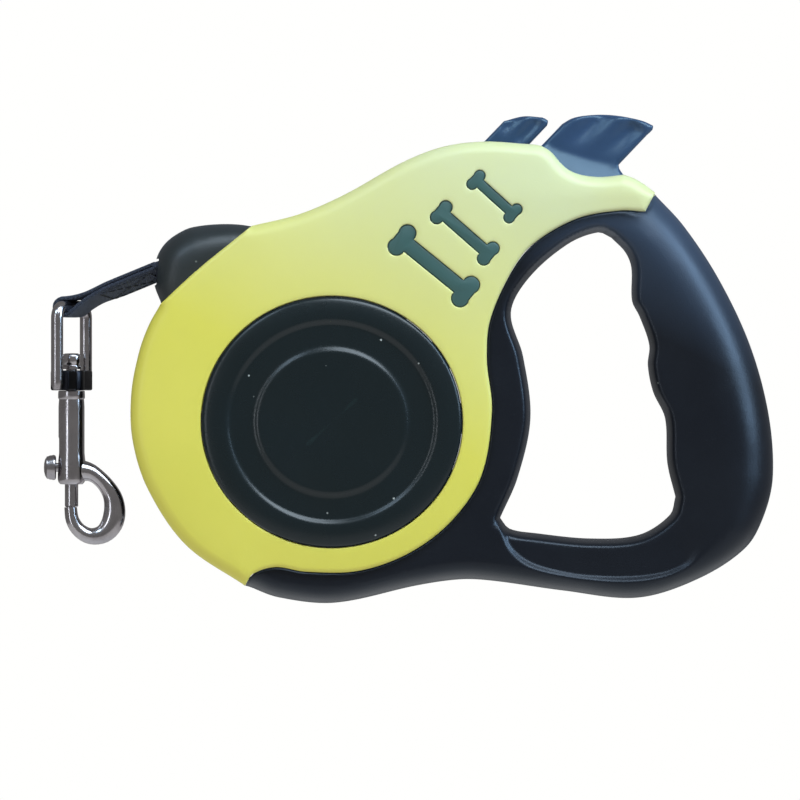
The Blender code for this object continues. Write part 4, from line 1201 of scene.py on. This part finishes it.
def hook_body():
    """Cast barrel and bow. The bow grows out of the barrel, and its cupped tip meets the bolt."""
    barrel = solid("snap_body", turned(BARREL, (SNAP_X, 0, 0), steps=56), 40)
    path = [Vector((x, 0, z)) for x, z in np.vstack([through(BOW, 0.9), BOW[-1:]])]

    def size(share):
        swell = 0.9 * math.exp(-((share / 0.1) ** 2))
        broad = 0.95 * math.exp(-(((share - 0.48) / 0.18) ** 2))
        taper = 0.3 * max(0, (share - 0.75) / 0.25)
        return 1.95 + swell + broad - taper, 2.1 + swell * 0.5 - taper

    bow = solid("bow", tube(path, size, SIDEWAYS, 28), 40)
    boolean(barrel, bow, "UNION", 40)
    cuts = {
        "bore": turned(BARREL_BORE, (SNAP_X, 0, 0), steps=40),
        "slot": rounded_box(KNOB_SLOT_CENTRE, KNOB_SLOT_SIZE, KNOB_SLOT_RADIUS),
        "cup": turned(BOW_CUP, (SNAP_X, 0, BOLT_SPAN[0]), steps=32),
    }
    for cut, work in cuts.items():
        boolean(barrel, solid(cut, work), "DIFFERENCE", 40)
    return piece(barrel, "snap", "nickel", NICKEL, "hook_body")


def hook_bolt():
    """The sliding bolt with its domed thumb knob, and a stem that runs up inside the spring."""
    low, high = BOLT_SPAN
    chamfered = BOLT_RADIUS - BOLT_CHAMFER
    rod = [
        (0, high),
        (STEM_RADIUS - STEM_CHAMFER, high),
        (STEM_RADIUS, high - STEM_CHAMFER),
        (STEM_RADIUS, BOLT_SHOULDER),
        (chamfered, BOLT_SHOULDER),
        (BOLT_RADIUS, BOLT_SHOULDER - BOLT_CHAMFER),
        (BOLT_RADIUS, low + BOLT_CHAMFER),
        (chamfered, low),
        (0, low),
    ]
    bolt = solid("snap_bolt", turned(rod, (SNAP_X, 0, 0), steps=36), 40)
    root = Vector((SNAP_X - 0.5, 0, KNOB.z))
    neck = tube([root, KNOB], lambda share: KNOB_NECK, SIDEWAYS, 16)
    boolean(bolt, solid("neck", neck), "UNION", 40)
    knob = turned(KNOB_PROFILE, steps=36)
    quarter = Matrix.Rotation(math.radians(-90), 4, "Y")
    place = Matrix.Translation(KNOB) @ quarter @ Matrix.Scale(KNOB_STRETCH, 4, (1, 0, 0))
    bmesh.ops.transform(knob, matrix=place, verts=knob.verts)
    boolean(bolt, solid("knob", knob), "UNION", 40)
    return piece(bolt, "bolt", "nickel", NICKEL, "hook_bolt")


# ---- what the CAD already draws ----


def paint_cad_nodes():
    """Gives the inner pieces and the screws their real finishes."""
    finishes = {
        REEL_WHITE: ["reel_drum", "reel_flange", "spring_cover"],
        WEBBING_FLAT: ["tape_coil", "tape_run"],
        SPRING_STEEL: ["mainspring", "brake_spring", "lock_spring", "bolt_spring"],
        SCREW_STEEL: ["arbor"] + [f"case_screw_{i}" for i in range(1, 7)],
    }
    for material, names in finishes.items():
        for name in names:
            obj = frame["nodes"][name]
            obj.data.materials.clear()
            obj.data.materials.append(material)


# ---- studio ----


def camera():
    """Level with the object and square to its side, from far off."""
    data = bpy.data.cameras.new("camera")
    data.sensor_width = CAMERA_SENSOR_MM
    data.lens = CAMERA_SENSOR_MM * -CAMERA_PLACE[1] / CAMERA_VIEW_WIDTH
    obj = bpy.data.objects.new("camera", data)
    obj.location = CAMERA_PLACE
    obj.rotation_euler = (math.radians(90), 0, 0)
    bpy.context.scene.collection.objects.link(obj)
    bpy.context.scene.camera = obj


def softbox(name, place, aim, size, power, colour, mirrored=True):
    """A rectangular light, aimed at a point. It shows in shiny surfaces only where it is mirrored."""
    data = bpy.data.lights.new(name, "AREA")
    data.shape = "RECTANGLE"
    data.size, data.size_y = size
    data.energy = power
    data.color = colour
    obj = bpy.data.objects.new(name, data)
    obj.location = place
    obj.rotation_euler = (Vector(aim) - Vector(place)).to_track_quat("-Z", "Y").to_euler()
    obj.visible_camera = False
    obj.visible_glossy = mirrored
    bpy.context.scene.collection.objects.link(obj)


def seen_by_camera(tree):
    return node(tree, "ShaderNodeLightPath").outputs["Is Camera Ray"]


def floor():
    material, tree, shader = new_material("pale_floor")
    where = place_in_frame(tree)
    tint = mixed(tree, noise(tree, where, 3, 2), rgb(0.9, 0.9, 0.89), rgb(0.92, 0.92, 0.91))
    tree.links.new(tint, shader.inputs["Base Color"])
    settle(shader, Roughness=0.9, Emission_Color=rgb(1, 1, 0.99))
    glow = ranged(tree, seen_by_camera(tree), 0, 1, 0, FLOOR_GLOW)
    tree.links.new(glow, shader.inputs["Emission Strength"])
    work = bmesh.new()
    bmesh.ops.create_grid(work, x_segments=8, y_segments=8, size=FLOOR_HALF)
    mesh = bpy.data.meshes.new("floor")
    work.to_mesh(mesh)
    work.free()
    obj = bpy.data.objects.new("floor", mesh)
    obj.location.z = FLOOR_LEVEL
    mesh.materials.append(material)
    bpy.context.scene.collection.objects.link(obj)


def surroundings():
    """White to the camera, dimmer as a light."""
    world = bpy.data.worlds.new("studio")
    world.use_nodes = True
    bpy.context.scene.world = world
    tree = world.node_tree
    background = tree.nodes["Background"]
    background.inputs["Color"].default_value = rgb(1, 1, 0.99)
    strength = ranged(tree, seen_by_camera(tree), 0, 1, WORLD_LIGHT, 1.0)
    tree.links.new(strength, background.inputs["Strength"])
    bpy.context.scene.view_settings.view_transform = "Standard"


for side, hand in ((-1, "left"), (1, "right")):
    casing = case_half(side, f"casing_{hand}")
    piece(casing, "housing", "case_plastic", YELLOW, f"case_{hand}")
    casing.visible_glossy = False  # keeps its yellow out of the mirror-bright snap
    grip = grip_half(side, f"grip_{hand}")
    piece(grip, "housing", "grip_plastic", GRIP, f"handle_{hand}")
    side_cap(side, f"round_cap_{hand}", f"cap_{hand}")
    bone_insert(side, f"bones_{hand}", f"bone_insert_{hand}")
nozzle()
button("brake_fin", "brake", BRAKE_BODY, brake_height, "brake_button")
button("lock_fin", "lock", LOCK_BODY, lock_height, "lock_button")
tape_end()
tape_stitching()
tape_neck()
swivel_eye()
eye_collar()
swivel_rivet()
hook_body()
hook_bolt()
paint_cad_nodes()

floor()
surroundings()
camera()
softbox("top_softbox", (0.16, -0.42, 0.58), (-0.06, 0, 0.02), (0.6, 0.35), 5.3, (0.74, 0.88, 1))
softbox("right_softbox", (0.72, -0.24, 0.36), (-0.02, 0, 0), (0.3, 0.6), 5.6, (0.52, 0.75, 1))
softbox("left_fill", (-0.85, -0.75, 0.05), (-0.1, 0, 0), (0.5, 0.5), 1.35, (1, 0.95, 0.86), mirrored=False)
softbox("left_strip", (-0.55, -0.5, 0.06), (-0.15, 0, 0), (0.06, 0.5), 0.5, (0.85, 0.92, 1))
softbox("upper_left_softbox", (-0.42, -0.42, 0.46), (-0.05, 0, 0.03), (0.22, 0.22), 0.9, (0.6, 0.8, 1))
softbox("floor_bounce", (-0.08, -0.05, -0.32), (-0.08, -0.05, 0), (1.6, 1.6), 3.4, (0.96, 0.98, 1))
softbox("rear_fill", (-0.25, 1, 0.35), (-0.08, 0, 0), (0.6, 0.6), 3.2, (0.9, 0.96, 1), mirrored=False)
